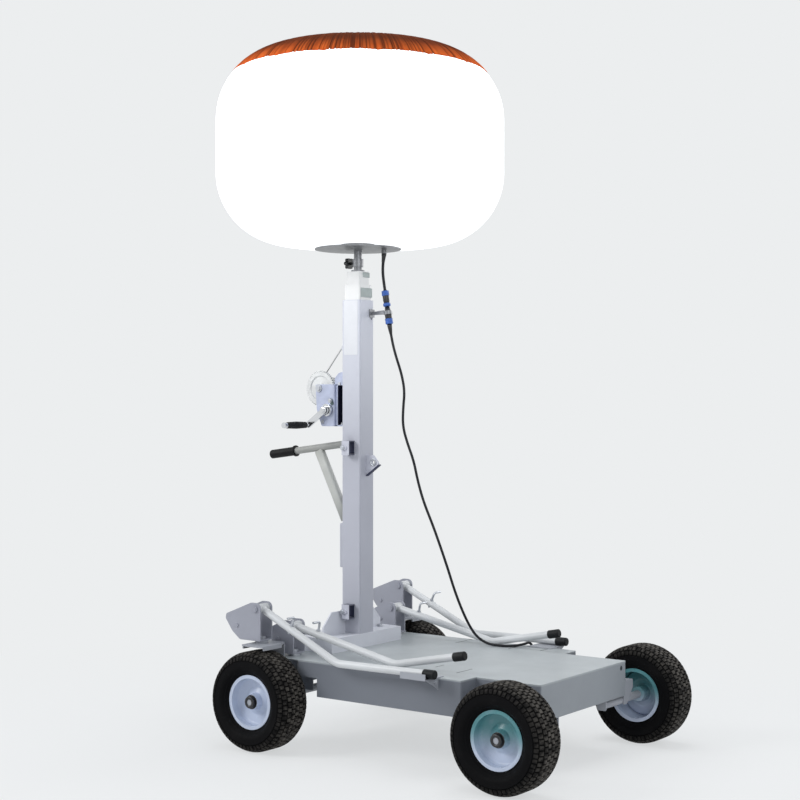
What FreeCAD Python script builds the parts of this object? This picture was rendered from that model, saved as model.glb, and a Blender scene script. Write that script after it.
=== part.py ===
"""Balloon light trolley: four wheels under a folded deck pan, a three part winch mast with a
balloon lamp on top, and four bent stabiliser legs that flip over and swing out.

Millimetres. While the shapes are made, X runs forward from the rear axle, +Y is the left side and
Z = 0 is the floor. At the end each piece is moved so that the origin lies on the floor, in the
middle of the whole trolley.
"""
import FreeCAD, Part
import math
import os

V = FreeCAD.Vector
X_AXIS = V(1, 0, 0)
Y_AXIS = V(0, 1, 0)
Z_AXIS = V(0, 0, 1)
SIDES = (("right", -1), ("left", 1))

# Clearances
GAP = 0.3

# Wheels
TYRE_D = 330.0
TYRE_W = 136.0
RIM_D = 179.0
RIM_OUT = 48.0
RIM_IN = 56.0
RIM_T = 3.0
HUB_R = 24.0
HUB_HALF = 34.0
HUB_SHIFT = 4.0
WHEELBASE = 960.0
TRACK = 868.0

# Axles
AXLE_R = 13.0
STUB_R = 10.0
AXLE_NUT_R = 15.0
AXLE_NUT_T = 10.0
AXLE_BRACKET_T = 4.0
AXLE_BRACKET_REACH = 62.0
AXLE_BRACKET_TOP = 64.0

# Deck pan, folded from sheet
DECK_Z = 298.0
DECK_H = 114.0
SHEET = 3.0
DECK_REAR = -25.0
DECK_NOSE = 25.0
DECK_HALF = 353.0
NECK_HALF = 273.0
REAR_STEP = 94.0
REAR_NOTCH_FRONT = 180.0
REAR_NOTCH_TOP = 245.0
FRONT_STEP = 752.0
FOLD_R = 8.0
FRONT_HOLE_R = 9.0
FRONT_HOLE_Y = 240.0
FRONT_HOLE_DROP = 20.0

DECK_FRONT = WHEELBASE + DECK_NOSE

# Mast
MAST_X = 76.0
MAST_W = 80.0
MAST_T = 4.0
MAST_PLAY = 1.5
MAST_TOP = 1508.0
MID_SHOWS = 54.0
INNER_SHOWS = 46.0
TUBE_STEP = 10.0
SLIDE_H = 60.0
MID_TOP = MAST_TOP + MID_SHOWS
INNER_TOP = MID_TOP + INNER_SHOWS
BASE_REAR = -50.0
BASE_FRONT = 118.0
BASE_HALF = 198.0
BASE_H = 48.0
GUSSET_REACH = 121.0
GUSSET_H = 78.0
GUSSET_T = 6.0

# Legs: outer pair over the rear wheels, inner pair on the deck
LEG_R = 12.5
LEG_WALL = 2.0
LEG_BEND_R = 70.0
SLEEVE_R = 15.0
PIVOT_R = 6.0
FOOT_R = 14.5
FOOT_LENGTH = 42.0
FOOT_CAP = 9.0
PIN_R = 4.0
PIN_ABOVE = 44.0
PIN_BELOW = 17.0
PIN_HANDLE = 36.0
EAR_T = 5.0
EAR_GAP = 52.0
EAR_FRONT = 20.0
REST_BAR_R = 6.0
SWIVEL_R = 8.0
POST_R = 22.0
BOLT_HEAD_R = 13.0
BOLT_HEAD_T = 8.0
SHELF_Z = 349.0
SHELF_T = 5.0
SHELF_LIP = 9.0
SHELF_REAR = -49.0
SHELF_FRONT = 45.0
SHELF_RISER_FRONT = 28.0
SHELF_OUT = 468.0
SHELF_IN = 336.0
CRADLE_REAR = 572.0
CRADLE_FRONT = 667.0
CRADLE_IN = 325.0
CRADLE_OUT = 426.0
CRADLE_T = 2.5
CRADLE_LIP = 20.0

# name: pivot x, centre y, pivot above web, first run, second run, first slope, bend,
# slope when let down, rest bar distance, pin distance
LEGS = {
    "outer": (-19.0, 400.0, 106.0, 356.0, 376.0, 25.4, 26.0, 25.6, 100.0, 138.0),
    "inner": (29.0, 288.0, 92.0, 431.0, 268.0, 11.8, 23.0, 25.2, 60.0, 104.0),
}
# ear outlines from the pivot: forward, up, corner radius; the lower corners drop with the pivot
EARS = {
    "outer": ((20, 20, 19), (-20, 20, 18), (-131, -24, 7), (-134, -40, 10), (-104, -80, 28)),
    "inner": ((20, 20, 19), (-20, 20, 18), (-76, -6, 7), (-76, -55, 12)),
}
EAR_HEEL = {"outer": -70.0, "inner": -50.0}

# Push handle
HANDLE_Z = 1006.0
HANDLE_END = -322.0
HANDLE_DROP = 46.0
HANDLE_R = 12.5
HANDLE_GRIP_R = 16.0
HANDLE_GRIP_LENGTH = 118.0
GRIP_CAP = 8.0
FLANGE_HALF = 26.0
FLANGE_T = 5.0
BRACE_R = 8.0
BRACE_TOP_X = -104.0
PAD_T = 12.0
PAD_HALF = 30.0
PAD_H = 225.0
PAD_DROP = 210.0
BRACE_SEAT = 26.0
PAD_HIGH = HANDLE_Z - PAD_DROP
PAD_LOW = PAD_HIGH - PAD_H
BRACE_FOOT_Z = PAD_HIGH - BRACE_SEAT

# Winch on the rear face of the mast
DRUM_X = -70.0
WINCH_RISE = 59.0
DRUM_RISE = 135.0
WINCH_HEAD = 62.0
PULLEY_RISE = 142.0
WINCH_BOTTOM = HANDLE_Z + WINCH_RISE
DRUM_Z = WINCH_BOTTOM + DRUM_RISE
WINCH_TOP = DRUM_Z + WINCH_HEAD
GEAR_TEETH = 48
PINION_TEETH = 20
TOOTH_MODULE = 2.55
PINION_BEARING = -62.6
GEAR_T = 8.0
GEAR_Y = -31.0
DRUM_R = 30.0
DRUM_FLANGE_R = 42.0
SHAFT_R = 6.0
WINCH_HALF = 37.0
WINCH_PLATE_T = 4.0
WINCH_REAR = -93.0
CRANK_Y = -58.0
CRANK_T = 8.0
CRANK_REACH = 92.0
CRANK_DROP = 35.0
CRANK_BAR = 22.0
GRIP_R = 13.0
GRIP_LENGTH = 104.0
ROPE_R = 2.5
PULLEY_Z = DRUM_Z + PULLEY_RISE
PULLEY_R = 14.0

# Fittings on the mast
CLIP_Z = (423.0, 992.0)
CLIP_W = 32.0
CLIP_OUT = 32.0
CLIP_H = 50.0
CLIP_T = 4.0
LUG_LOW = 895.0
LUG_HIGH = 966.0
LUG_REACH = 56.0
LUG_T = 6.0
LUG_HOLE_R = 8.0

# Head
POLE_R = 14.0
DISH_R = 152.0
POLE_H = 73.0
DISH_Z = INNER_TOP + POLE_H
DISH_RIM = 4.0
DISH_RISE = 9.0
KNOB_RISE = 31.0
KNOB_Z = INNER_TOP + KNOB_RISE
BALLOON_R = 507.0
BALLOON_SEAT = 23.0
BALLOON_H = 656.0
CROWN_H = 72.0
BALLOON_LOW = DISH_Z + BALLOON_SEAT
BALLOON_HIGH = BALLOON_LOW + BALLOON_H
BALLOON_SHOULDER = 246.0
CAP_FROM = BALLOON_HIGH - CROWN_H

# Power lead: the upper part rides with the head and ends in a coupling
LEAD_R = 5.0
CABLE_R = 4.5
LEAD_GLAND = (172.0, 25.0)
GLAND_R = 9.0
GLAND_H = 12.0
COUPLING_TOP = V(176, 25, 1541)
COUPLING_END = V(196, 25, 1419)
COUPLING_SPLIT = 0.467
COUPLING_R = 10.5
HOOK_Z = 1462.0
UPPER_LEAD = ((172, 25, 1669), (168, 25, 1640), (166, 25, 1608), (170, 25, 1573), (176, 25, 1541))
LOWER_CABLE = (
    (196, 25, 1419), (206, 25, 1365), (224, 25, 1308), (246, 26, 1252), (259, 28, 1190),
    (250, 31, 1130), (246, 34, 1068), (262, 39, 1010), (284, 46, 950), (294, 56, 880),
    (312, 65, 808), (342, 78, 728), (366, 92, 650), (381, 114, 575), (387, 142, 505),
    (394, 174, 438), (403, 205, 380), (420, 231, 332), (456, 250, 306), (505, 262, 303),
    (545, 285, 303), (562, 322, 307), (566, 354, 311), (567, 372, 283), (566, 374, 225),
    (562, 375, 150), (552, 376, 78), (525, 379, 24), (478, 385, 5), (428, 399, 5),
    (378, 411, 5), (330, 427, 7),
)
COIL_CENTRE = (330.0, 478.0)
COIL_R = 50.0
COIL_TURN_R = 15.0
PLUG_R = 24.0
PLUG_LENGTH = 62.0
PLUG_SEAT = 6.0


def move_to_row(shape):
    """Shift a finished shape so that the origin is the floor point under the middle."""
    rear = MAST_X - BALLOON_R
    front = WHEELBASE + TYRE_D / 2
    moved = shape.copy()
    moved.translate(V(-(rear + front) / 2, 0, 0))
    return moved


def save(name, shape):
    """Write one piece."""
    move_to_row(shape).exportStep("parts/" + name + ".step")


def flip(shape):
    """The same shape on the other side of the trolley."""
    return shape.mirror(V(0, 0, 0), Y_AXIS)


def on_side(shape, side):
    """A shape drawn on the left side, put on the side asked for."""
    return shape if side > 0 else flip(shape)


def join(shapes):
    """One solid from several that touch or overlap."""
    whole = shapes[0]
    for other in shapes[1:]:
        whole = whole.fuse(other)
    return whole.removeSplitter()


def block(x, y, z):
    """A box between pairs of x, y and z."""
    size = (x[1] - x[0], y[1] - y[0], z[1] - z[0])
    return Part.makeBox(size[0], size[1], size[2], V(x[0], y[0], z[0]))


def rod(start, end, radius):
    """A round bar between two points."""
    along = end - start
    return Part.makeCylinder(radius, along.Length, start, along)


def cross_rod(x, z, y, radius):
    """A round bar along Y between a pair of y."""
    return rod(V(x, y[0], z), V(x, y[1], z), radius)


def at_plan(u, v):
    return V(u, v, 0)


def at_side(u, v):
    return V(u, 0, v)


def at_front(u, v):
    return V(0, u, v)


def outline(corners, at):
    """A closed wire through corners (u, v, radius), each rounded to its radius."""
    arcs = []
    count = len(corners)
    for i, (u, v, radius) in enumerate(corners):
        here = at(u, v)
        back = at(corners[i - 1][0], corners[i - 1][1]) - here
        ahead = at(corners[(i + 1) % count][0], corners[(i + 1) % count][1]) - here
        back.normalize()
        ahead.normalize()
        half = back.getAngle(ahead) / 2
        if radius == 0:
            arcs.append((here, None, here))
            continue
        middle = back + ahead
        middle.normalize()
        reach = radius / math.tan(half)
        deep = radius / math.sin(half) - radius
        arcs.append((here + back * reach, here + middle * deep, here + ahead * reach))
    edges = []
    for i, (start, middle, end) in enumerate(arcs):
        if middle is not None:
            edges.append(Part.Arc(start, middle, end).toShape())
        following = arcs[(i + 1) % count][0]
        if (following - end).Length > 0.001:
            edges.append(Part.LineSegment(end, following).toShape())
    return Part.Wire(edges)


def plate(corners, at, start, thickness):
    """A flat plate: its outline moved to start and given a thickness along its normal."""
    normal = at(1, 0).cross(at(0, 1))
    normal.normalize()
    if normal.x + normal.y + normal.z < 0:
        normal = normal * -1
    face = Part.Face(outline(corners, at))
    face.translate(normal * start)
    return face.extrude(normal * thickness)


def rounded_path(points, radii):
    """Straight runs between points, joined by arcs of the given radii at the inner points."""
    edges = []
    last = points[0]
    for i in range(1, len(points) - 1):
        here = points[i]
        back = (points[i - 1] - here).normalize()
        ahead = (points[i + 1] - here).normalize()
        half = back.getAngle(ahead) / 2
        reach = radii[i - 1] / math.tan(half)
        middle = (back + ahead).normalize()
        deep = radii[i - 1] / math.sin(half) - radii[i - 1]
        start = here + back * reach
        end = here + ahead * reach
        edges.append(Part.LineSegment(last, start).toShape())
        edges.append(Part.Arc(start, here + middle * deep, end).toShape())
        last = end
    edges.append(Part.LineSegment(last, points[-1]).toShape())
    return Part.Wire(edges)


def sweep(path, along, start, radius):
    """A round solid carried along a path."""
    ring = Part.Wire([Part.makeCircle(radius, start, along)])
    return path.makePipeShell([ring], True, False)


def bent_bar(points, bend, radius):
    """A round bar with equal bends."""
    path = rounded_path(points, [bend] * (len(points) - 2))
    return sweep(path, points[1] - points[0], points[0], radius)


def cord(name, points, radius):
    """A free cord: arcs as large as the runs beside them allow."""
    spots = [V(*p) for p in points]
    radii = []
    for i in range(1, len(spots) - 1):
        back = spots[i - 1] - spots[i]
        ahead = spots[i + 1] - spots[i]
        turn = math.pi - back.getAngle(ahead)
        radii.append(0.45 * min(back.Length, ahead.Length) / math.tan(turn / 2))
    path = rounded_path(spots, radii)
    tube = sweep(path, spots[1] - spots[0], spots[0], radius)
    section = math.pi * radius * radius
    print(name, "length", round(path.Length, 1), "tightest", round(min(radii), 1),
          "volume over section", round(tube.Volume / section / path.Length, 4))
    return tube


def turned(profile, centre, axis):
    """A solid of revolution from corners (along the axis, radius, corner radius)."""
    wire = outline(profile, at_plan)
    solid = Part.Face(wire).revolve(V(0, 0, 0), X_AXIS, 360)
    solid.Placement = FreeCAD.Placement(centre, FreeCAD.Rotation(X_AXIS, axis))
    return solid


def square_tube(width, wall, low, high):
    """A square tube on the mast's axis, with rounded edges."""
    def ring(half, radius):
        return [(MAST_X + half * i, half * j, radius) for i, j in ((1, 1), (-1, 1), (-1, -1), (1, -1))]
    outer = plate(ring(width / 2, wall * 1.5), at_plan, low, high - low)
    inner = plate(ring(width / 2 - wall, wall * 0.5), at_plan, low, high - low)
    return outer.cut(inner)


# Wheels

def tyre(side):
    """Turf tyre: wide, with rounded shoulders, sitting on the rim's flanges."""
    crown = TYRE_D / 2
    seat = RIM_D / 2 - 8
    half = TYRE_W / 2
    profile = ((-RIM_IN + RIM_T, seat, 0), (RIM_OUT - RIM_T, seat, 0), (RIM_OUT - RIM_T, seat + 9, 0),
               (half, seat + 32, 22), (half, crown - 12, 18), (half - 24, crown, 26),
               (24 - half, crown, 26), (-half, crown - 12, 18), (-half, seat + 32, 22),
               (RIM_T - RIM_IN, seat + 9, 0))
    return turned(profile, V(0, side * TRACK / 2, 0), Y_AXIS * side)


def rim(side):
    """Pressed rim: two flanges, a well, a dished disc and a hub with a bore for the stub."""
    edge = RIM_D / 2
    seat = edge - 8
    bore = STUB_R + GAP
    shell = ((-RIM_IN, edge, 0), (-RIM_IN, seat - RIM_T, 0), (8, seat - RIM_T, 4), (14, 30, 6),
             (HUB_SHIFT + HUB_HALF, HUB_R, 0), (HUB_SHIFT + HUB_HALF, bore, 0),
             (HUB_SHIFT - HUB_HALF, bore, 0), (HUB_SHIFT - HUB_HALF, HUB_R, 0),
             (10, 26, 0), (14, 38, 6), (20, seat - RIM_T - 7, 8), (30, seat - RIM_T, 6),
             (RIM_OUT, seat - RIM_T, 0), (RIM_OUT, edge, 0), (RIM_OUT - RIM_T, edge, 0),
             (RIM_OUT - RIM_T, seat, 0), (RIM_T - RIM_IN, seat, 0), (RIM_T - RIM_IN, edge, 0))
    barrel = ((-RIM_IN, edge, 0), (-RIM_IN, seat - RIM_T, 0), (RIM_OUT, seat - RIM_T, 0),
              (RIM_OUT, edge, 0), (RIM_OUT - RIM_T, edge, 0), (RIM_OUT - RIM_T, seat, 0),
              (RIM_T - RIM_IN, seat, 0), (RIM_T - RIM_IN, edge, 0))
    low = HUB_SHIFT - HUB_HALF
    high = HUB_SHIFT + HUB_HALF
    disc = ((low, HUB_R, 0), (low, bore, 0), (high, bore, 0), (high, HUB_R, 2), (16, HUB_R + 4, 4),
            (8, 46, 10), (14, seat - RIM_T - 4, 8), (22, seat - RIM_T, 0), (17, seat - RIM_T, 0),
            (9, seat - RIM_T - 4, 8), (3, 46, 10), (10, HUB_R + 2, 3))
    centre = V(0, side * TRACK / 2, 0)
    return join([turned(barrel, centre, Y_AXIS * side), turned(disc, centre, Y_AXIS * side)])


def make_wheels():
    for end, x in (("front", WHEELBASE), ("rear", 0.0)):
        for name, side in SIDES:
            for piece, shape in (("tyre", tyre(side)), ("rim", rim(side))):
                shape.translate(V(x, 0, TYRE_D / 2))
                save(piece + "_" + end + "_" + name, shape)


def axle(x):
    """A tube from wheel to wheel with stubs, end nuts and four folded brackets."""
    z = TYRE_D / 2
    shoulder = TRACK / 2 + HUB_SHIFT - HUB_HALF - GAP
    outer = TRACK / 2 + HUB_SHIFT + HUB_HALF + GAP
    parts = [cross_rod(x, z, (-shoulder, shoulder), AXLE_R),
             cross_rod(x, z, (-outer - AXLE_NUT_T, outer + AXLE_NUT_T), STUB_R)]
    for y in (-outer - AXLE_NUT_T, outer):
        parts.append(cross_rod(x, z, (y, y + AXLE_NUT_T), AXLE_NUT_R))
    reach = NECK_HALF + AXLE_BRACKET_REACH
    low = z - AXLE_R
    top = z + AXLE_BRACKET_TOP
    cheek = ((NECK_HALF, low, 0), (NECK_HALF + 22, low, 4), (reach, top - 26, 6), (reach, top, 3),
             (NECK_HALF, top, 0))
    for way in (-1, 1):
        start = x + way * AXLE_R - (AXLE_BRACKET_T if way < 0 else 0)
        side_plate = plate(cheek, at_front, start, AXLE_BRACKET_T)
        parts += [side_plate, flip(side_plate)]
    web = block((x - AXLE_R, x + AXLE_R), (NECK_HALF, reach - 3), (top - AXLE_BRACKET_T, top))
    saddle = block((x - AXLE_R, x + AXLE_R), (NECK_HALF, NECK_HALF + 24), (z, z + AXLE_R + 6))
    parts += [web, flip(web), saddle, flip(saddle)]
    return join(parts)


# Deck

def deck_corners(inset, rear_step):
    """Plan of the pan: wide in the middle, narrow between the wheels."""
    half = DECK_HALF - inset
    neck = NECK_HALF - inset
    rear = DECK_REAR + inset
    front = DECK_FRONT - inset
    step = rear_step + inset
    fore = FRONT_STEP - inset
    fold = FOLD_R - inset
    return ((rear, -neck, fold), (step, -neck, 0), (step, -half, fold), (fore, -half, fold),
            (fore, -neck, 0), (front, -neck, fold), (front, neck, fold), (fore, neck, 0),
            (fore, half, fold), (step, half, fold), (step, neck, 0), (rear, neck, fold))


def deck_pan():
    """Folded pan, open below, with its top sheet carried out over the rear axle brackets."""
    bottom = DECK_Z - DECK_H
    outer = plate(deck_corners(0, REAR_STEP), at_plan, bottom, DECK_H - SHEET)
    inner = plate(deck_corners(SHEET, REAR_STEP), at_plan, bottom, DECK_H - SHEET)
    half = DECK_HALF
    top = ((DECK_REAR, -half, FOLD_R), (FRONT_STEP, -half, FOLD_R), (FRONT_STEP, -NECK_HALF, 0),
           (DECK_FRONT, -NECK_HALF, FOLD_R), (DECK_FRONT, NECK_HALF, FOLD_R),
           (FRONT_STEP, NECK_HALF, 0), (FRONT_STEP, half, FOLD_R), (DECK_REAR, half, FOLD_R))
    sheet = plate(top, at_plan, DECK_Z - SHEET, SHEET)
    notch = block((REAR_STEP - SHEET, REAR_NOTCH_FRONT), (NECK_HALF + GAP, DECK_HALF + 5), (bottom - 1, REAR_NOTCH_TOP))
    hole_z = DECK_Z - FRONT_HOLE_DROP
    hole = rod(V(DECK_FRONT - 30, FRONT_HOLE_Y, hole_z), V(DECK_FRONT + 30, FRONT_HOLE_Y, hole_z), FRONT_HOLE_R)
    return join([outer.cut(inner).cut(notch).cut(flip(notch)), sheet]).cut(hole)


# Mast foot, shelves and cradles

def mast_base():
    """Cross channel under the mast, open on its underside."""
    top = DECK_Z + BASE_H
    box = block((BASE_REAR, BASE_FRONT), (-BASE_HALF, BASE_HALF), (DECK_Z, top))
    hollow = block((BASE_REAR + MAST_T, BASE_FRONT - MAST_T), (MAST_T - BASE_HALF, BASE_HALF - MAST_T),
                   (DECK_Z, top - MAST_T))
    return box.cut(hollow)


def mast_foot():
    """The cross channel with two upright gussets that brace the mast sideways."""
    root = MAST_W / 2 + GAP
    low = DECK_Z + BASE_H
    corners = ((root, low, 0), (root + GUSSET_REACH, low, 0), (root + GUSSET_REACH, low + 30, 3),
               (root + GUSSET_REACH - 46, low + GUSSET_H, 3), (root, low + GUSSET_H, 0))
    one = plate(corners, at_front, MAST_X - 30, GUSSET_T)
    return join([mast_base(), one, flip(one)])


def leg_shelf(side):
    """Raised shelf over the rear tyre: foot, riser and plate with down-turned lips."""
    riser = block((SHELF_REAR, SHELF_RISER_FRONT), (SHELF_IN, SHELF_IN + SHELF_T), (DECK_Z, SHELF_Z))
    foot = block((SHELF_REAR, SHELF_RISER_FRONT), (SHELF_IN, DECK_HALF), (DECK_Z, DECK_Z + SHELF_T))
    ledge = ((SHELF_REAR, SHELF_IN, 0), (SHELF_RISER_FRONT, SHELF_IN, 0),
             (SHELF_FRONT, SHELF_IN + 34, 4), (SHELF_FRONT, SHELF_OUT, 5), (SHELF_REAR, SHELF_OUT, 5))
    top = plate(ledge, at_plan, SHELF_Z - SHELF_T, SHELF_T)
    lips = []
    for x in (SHELF_REAR, SHELF_FRONT - SHELF_T):
        lips.append(block((x, x + SHELF_T), (SHELF_IN + 36, SHELF_OUT - 6),
                          (SHELF_Z - SHELF_T - SHELF_LIP, SHELF_Z - SHELF_T)))
    return on_side(join([riser, foot, top] + lips), side)


def leg_cradle(side):
    """Plate on the deck's edge with an upturned lip that keeps a stowed leg in place."""
    low = DECK_Z
    top = DECK_Z + CRADLE_T
    floor = block((CRADLE_REAR, CRADLE_FRONT), (CRADLE_IN, CRADLE_OUT), (low, top))
    lip = block((CRADLE_REAR, CRADLE_FRONT), (CRADLE_OUT - CRADLE_T, CRADLE_OUT), (low, low + CRADLE_LIP))
    corners = ((DECK_HALF, low, 0), (DECK_HALF, low - 36, 0), (CRADLE_OUT - 8, low, 0))
    web = plate(corners, at_front, CRADLE_FRONT - CRADLE_T - 1, CRADLE_T)
    bolt_y = DECK_HALF + 18
    bolt = rod(V(CRADLE_FRONT - 1, bolt_y, low - 12), V(CRADLE_FRONT + 5, bolt_y, low - 12), 5)
    return on_side(join([floor, lip, web, bolt]), side)


# Legs

def leg_frame(kind):
    """Pivot and the directions of the two runs of a stowed leg, which rests on its seat."""
    x, y, drop, first, second, slope, bend, down, rest, pin = LEGS[kind]
    one = V(math.cos(math.radians(slope)), 0, -math.sin(math.radians(slope)))
    rise = math.radians(bend - slope)
    two = V(math.cos(rise), 0, math.sin(rise))
    if kind == "outer":
        along = second + FOOT_CAP - FOOT_LENGTH
        elbow = DECK_Z + CRADLE_T + GAP + FOOT_R / two.x - along * two.z
    else:
        half = math.radians(bend / 2)
        tilt = rise - half
        elbow = DECK_Z + GAP + LEG_R + LEG_BEND_R - LEG_BEND_R / math.cos(half) * math.cos(tilt)
    pivot = V(x, y, elbow - one.z * first)
    return pivot, one, two


def leg_tube(kind):
    """Bent tube with a cross sleeve at the pivot and a hole for its locking pin."""
    x, y, drop, first, second, slope, bend, down, rest, pin = LEGS[kind]
    pivot, one, two = leg_frame(kind)
    elbow = pivot + one * first
    end = elbow + two * second
    outer = bent_bar([pivot, elbow, end], LEG_BEND_R, LEG_R)
    sleeve_half = EAR_GAP / 2 - GAP
    sleeve = cross_rod(pivot.x, pivot.z, (y - sleeve_half, y + sleeve_half), SLEEVE_R)
    inner_start = pivot + one * (SLEEVE_R + 4)
    inner = bent_bar([inner_start, elbow, end], LEG_BEND_R, LEG_R - LEG_WALL)
    body = join([outer, sleeve]).cut(inner)
    up = V(-one.z, 0, one.x)
    spot = pivot + one * pin
    pin_hole = rod(spot - up * 20, spot + up * 20, PIN_R + 0.1)
    bore = cross_rod(pivot.x, pivot.z, (y - 60, y + 60), PIVOT_R + GAP)
    return body.cut(pin_hole).cut(bore)


def leg_foot(kind):
    """Rubber cap over the end of a leg."""
    pivot, one, two = leg_frame(kind)
    end = pivot + one * LEGS[kind][3] + two * LEGS[kind][4]
    back = FOOT_LENGTH - FOOT_CAP
    profile = ((-back, LEG_R, 0), (0, LEG_R, 0), (0, 0, 0), (FOOT_CAP, 0, 0), (FOOT_CAP, FOOT_R, 4),
               (-back, FOOT_R, 1))
    return turned(profile, end, two)


def leg_pin(kind):
    """Locking pin with a bent handle that points outboard."""
    pivot, one, two = leg_frame(kind)
    spot = pivot + one * LEGS[kind][9]
    up = V(-one.z, 0, one.x)
    top = spot + up * PIN_ABOVE
    points = [spot - up * PIN_BELOW, top, top + Y_AXIS * PIN_HANDLE]
    bar = bent_bar(points, PIN_R * 2, PIN_R)
    collar = rod(spot + up * (LEG_R + 0.2), spot + up * (LEG_R + 4), PIN_R + 3)
    return join([bar, collar])


def leg_bracket(kind):
    """Two ears, a web with the swivel hole, the pivot bolt and the bar the open leg rests on."""
    x, y, drop, first, second, slope, bend, down, rest, pin = LEGS[kind]
    pivot, one, two = leg_frame(kind)
    corners = [(EAR_FRONT, -drop, 3)] + list(EARS[kind]) + [(EAR_HEEL[kind], -drop, 14)]
    spots = [(pivot.x + u, pivot.z + v, r) for u, v, r in corners]
    inner = EAR_GAP / 2
    ears = [plate(spots, at_side, y + inner, EAR_T), plate(spots, at_side, y - inner - EAR_T, EAR_T)]
    floor = pivot.z - drop
    web = block((pivot.x + EAR_HEEL[kind] + 8, pivot.x + EAR_FRONT), (y - inner, y + inner), (floor, floor + EAR_T))
    open_run = V(-math.cos(math.radians(down)), 0, -math.sin(math.radians(down)))
    below = V(-open_run.z, 0, open_run.x)
    spot = pivot + open_run * rest + below * (LEG_R + REST_BAR_R + GAP)
    outer = inner + EAR_T
    bar = cross_rod(spot.x, spot.z, (y - outer - 4, y + outer + 4), REST_BAR_R)
    bolt = cross_rod(pivot.x, pivot.z, (y - outer - 7, y + outer + 7), PIVOT_R)
    heads = [cross_rod(pivot.x, pivot.z, (y + outer, y + outer + 6), PIVOT_R + 4),
             cross_rod(pivot.x, pivot.z, (y - outer - 6, y - outer), PIVOT_R + 4)]
    whole = join(ears + [web, bar, bolt] + heads)
    hole = rod(V(pivot.x, y, floor - 5), V(pivot.x, y, floor + EAR_T + 5), SWIVEL_R + GAP)
    return whole.cut(hole)


def swivel_post(kind):
    """Turntable boss and bolt that a leg bracket swings on."""
    x, y, drop = LEGS[kind][:3]
    pivot = leg_frame(kind)[0]
    seat = SHELF_Z if kind == "outer" else DECK_Z
    floor = pivot.z - drop
    head = floor + EAR_T + GAP
    boss = rod(V(x, y, seat), V(x, y, floor - GAP), POST_R)
    bolt = rod(V(x, y, seat), V(x, y, head + 1), SWIVEL_R)
    cap = rod(V(x, y, head), V(x, y, head + BOLT_HEAD_T), BOLT_HEAD_R)
    return join([boss, bolt, cap])


def make_legs():
    for kind in LEGS:
        for name, side in SIDES:
            tail = kind + "_" + name
            save("leg_tube_" + tail, on_side(leg_tube(kind), side))
            save("leg_foot_" + tail, on_side(leg_foot(kind), side))
            save("leg_pin_" + tail, on_side(leg_pin(kind), side))
            save("leg_bracket_" + tail, on_side(leg_bracket(kind), side))


# Mast

def mast_tubes():
    """Outer, middle and inner tube, each sliding in the one before."""
    foot = DECK_Z + BASE_H
    widths = [MAST_W]
    for _ in range(2):
        widths.append(widths[-1] - 2 * MAST_T - 2 * MAST_PLAY)
    tops = (MAST_TOP, MID_TOP, INNER_TOP)
    tubes = [square_tube(width, MAST_T, foot + i * TUBE_STEP, tops[i]) for i, width in enumerate(widths)]
    lid_half = widths[2] / 2 - MAST_T
    lid = block((MAST_X - lid_half, MAST_X + lid_half), (-lid_half, lid_half), (INNER_TOP - 6, INNER_TOP))
    tubes[2] = join([tubes[2], lid])
    for i in (1, 2):
        low = foot + i * TUBE_STEP
        collar = square_tube(widths[i] + 2 * (MAST_PLAY - GAP), MAST_T + MAST_PLAY - GAP, low, low + SLIDE_H)
        tubes[i] = join([tubes[i], collar])
    rope_slot = block((MAST_X - MAST_W / 2 - 5, MAST_X - MAST_W / 2 + MAST_T + 0.5), (-5, 5),
                      (PULLEY_Z + 4, PULLEY_Z + 26))
    tubes[0] = tubes[0].cut(rope_slot)
    return tubes


def mast_clip(z):
    """Folded keeper on the right face, open towards the front and the rear."""
    face = -MAST_W / 2
    low = z - CLIP_H / 2
    high = z + CLIP_H / 2
    x = (MAST_X - CLIP_W / 2, MAST_X + CLIP_W / 2)
    hoop = block(x, (face - CLIP_OUT, face), (low, high))
    space = block(x, (face - CLIP_OUT + CLIP_T, face), (low + CLIP_T, high - CLIP_T))
    bolt = cross_rod(MAST_X, z, (face - CLIP_OUT - 5, face - CLIP_OUT + 1), 7)
    return join([hoop.cut(space), bolt])


def hook_lug():
    """Three-cornered lug on the front face with a hole for a shackle."""
    root = MAST_X + MAST_W / 2
    corners = ((root, LUG_LOW, 0), (root + LUG_REACH, LUG_HIGH - 30, 8), (root + LUG_REACH * 0.55, LUG_HIGH, 8),
               (root, LUG_HIGH, 0))
    body = plate(corners, at_side, -LUG_T / 2, LUG_T)
    hole = cross_rod(root + 30, LUG_HIGH - 24, (-20, 20), LUG_HOLE_R)
    return body.cut(hole)


def coupling_point(share):
    """A point on the coupling's axis, from 0 at its top to 1 at its lower end."""
    return COUPLING_TOP + (COUPLING_END - COUPLING_TOP) * share


def cable_hook():
    """Flat arm with a ring that holds the lower half of the coupling."""
    share = (COUPLING_TOP.z - HOOK_Z) / (COUPLING_TOP.z - COUPLING_END.z)
    centre = coupling_point(share)
    axis = (COUPLING_END - COUPLING_TOP).normalize()
    start = centre - axis * 6
    ring = rod(start, start + axis * 12, COUPLING_R + 4).cut(rod(start - axis, start + axis * 13, COUPLING_R + GAP))
    root = MAST_X + MAST_W / 2
    arm = block((root, centre.x - COUPLING_R - 1.5), (centre.y - 2, centre.y + 2), (HOOK_Z - 6, HOOK_Z + 6))
    foot = block((root, root + 4), (centre.y - 14, centre.y + 14), (HOOK_Z - 14, HOOK_Z + 14))
    return join([ring, arm, foot])


def pulley_x():
    return MAST_X - MAST_W / 2 - PULLEY_R - 1


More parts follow.
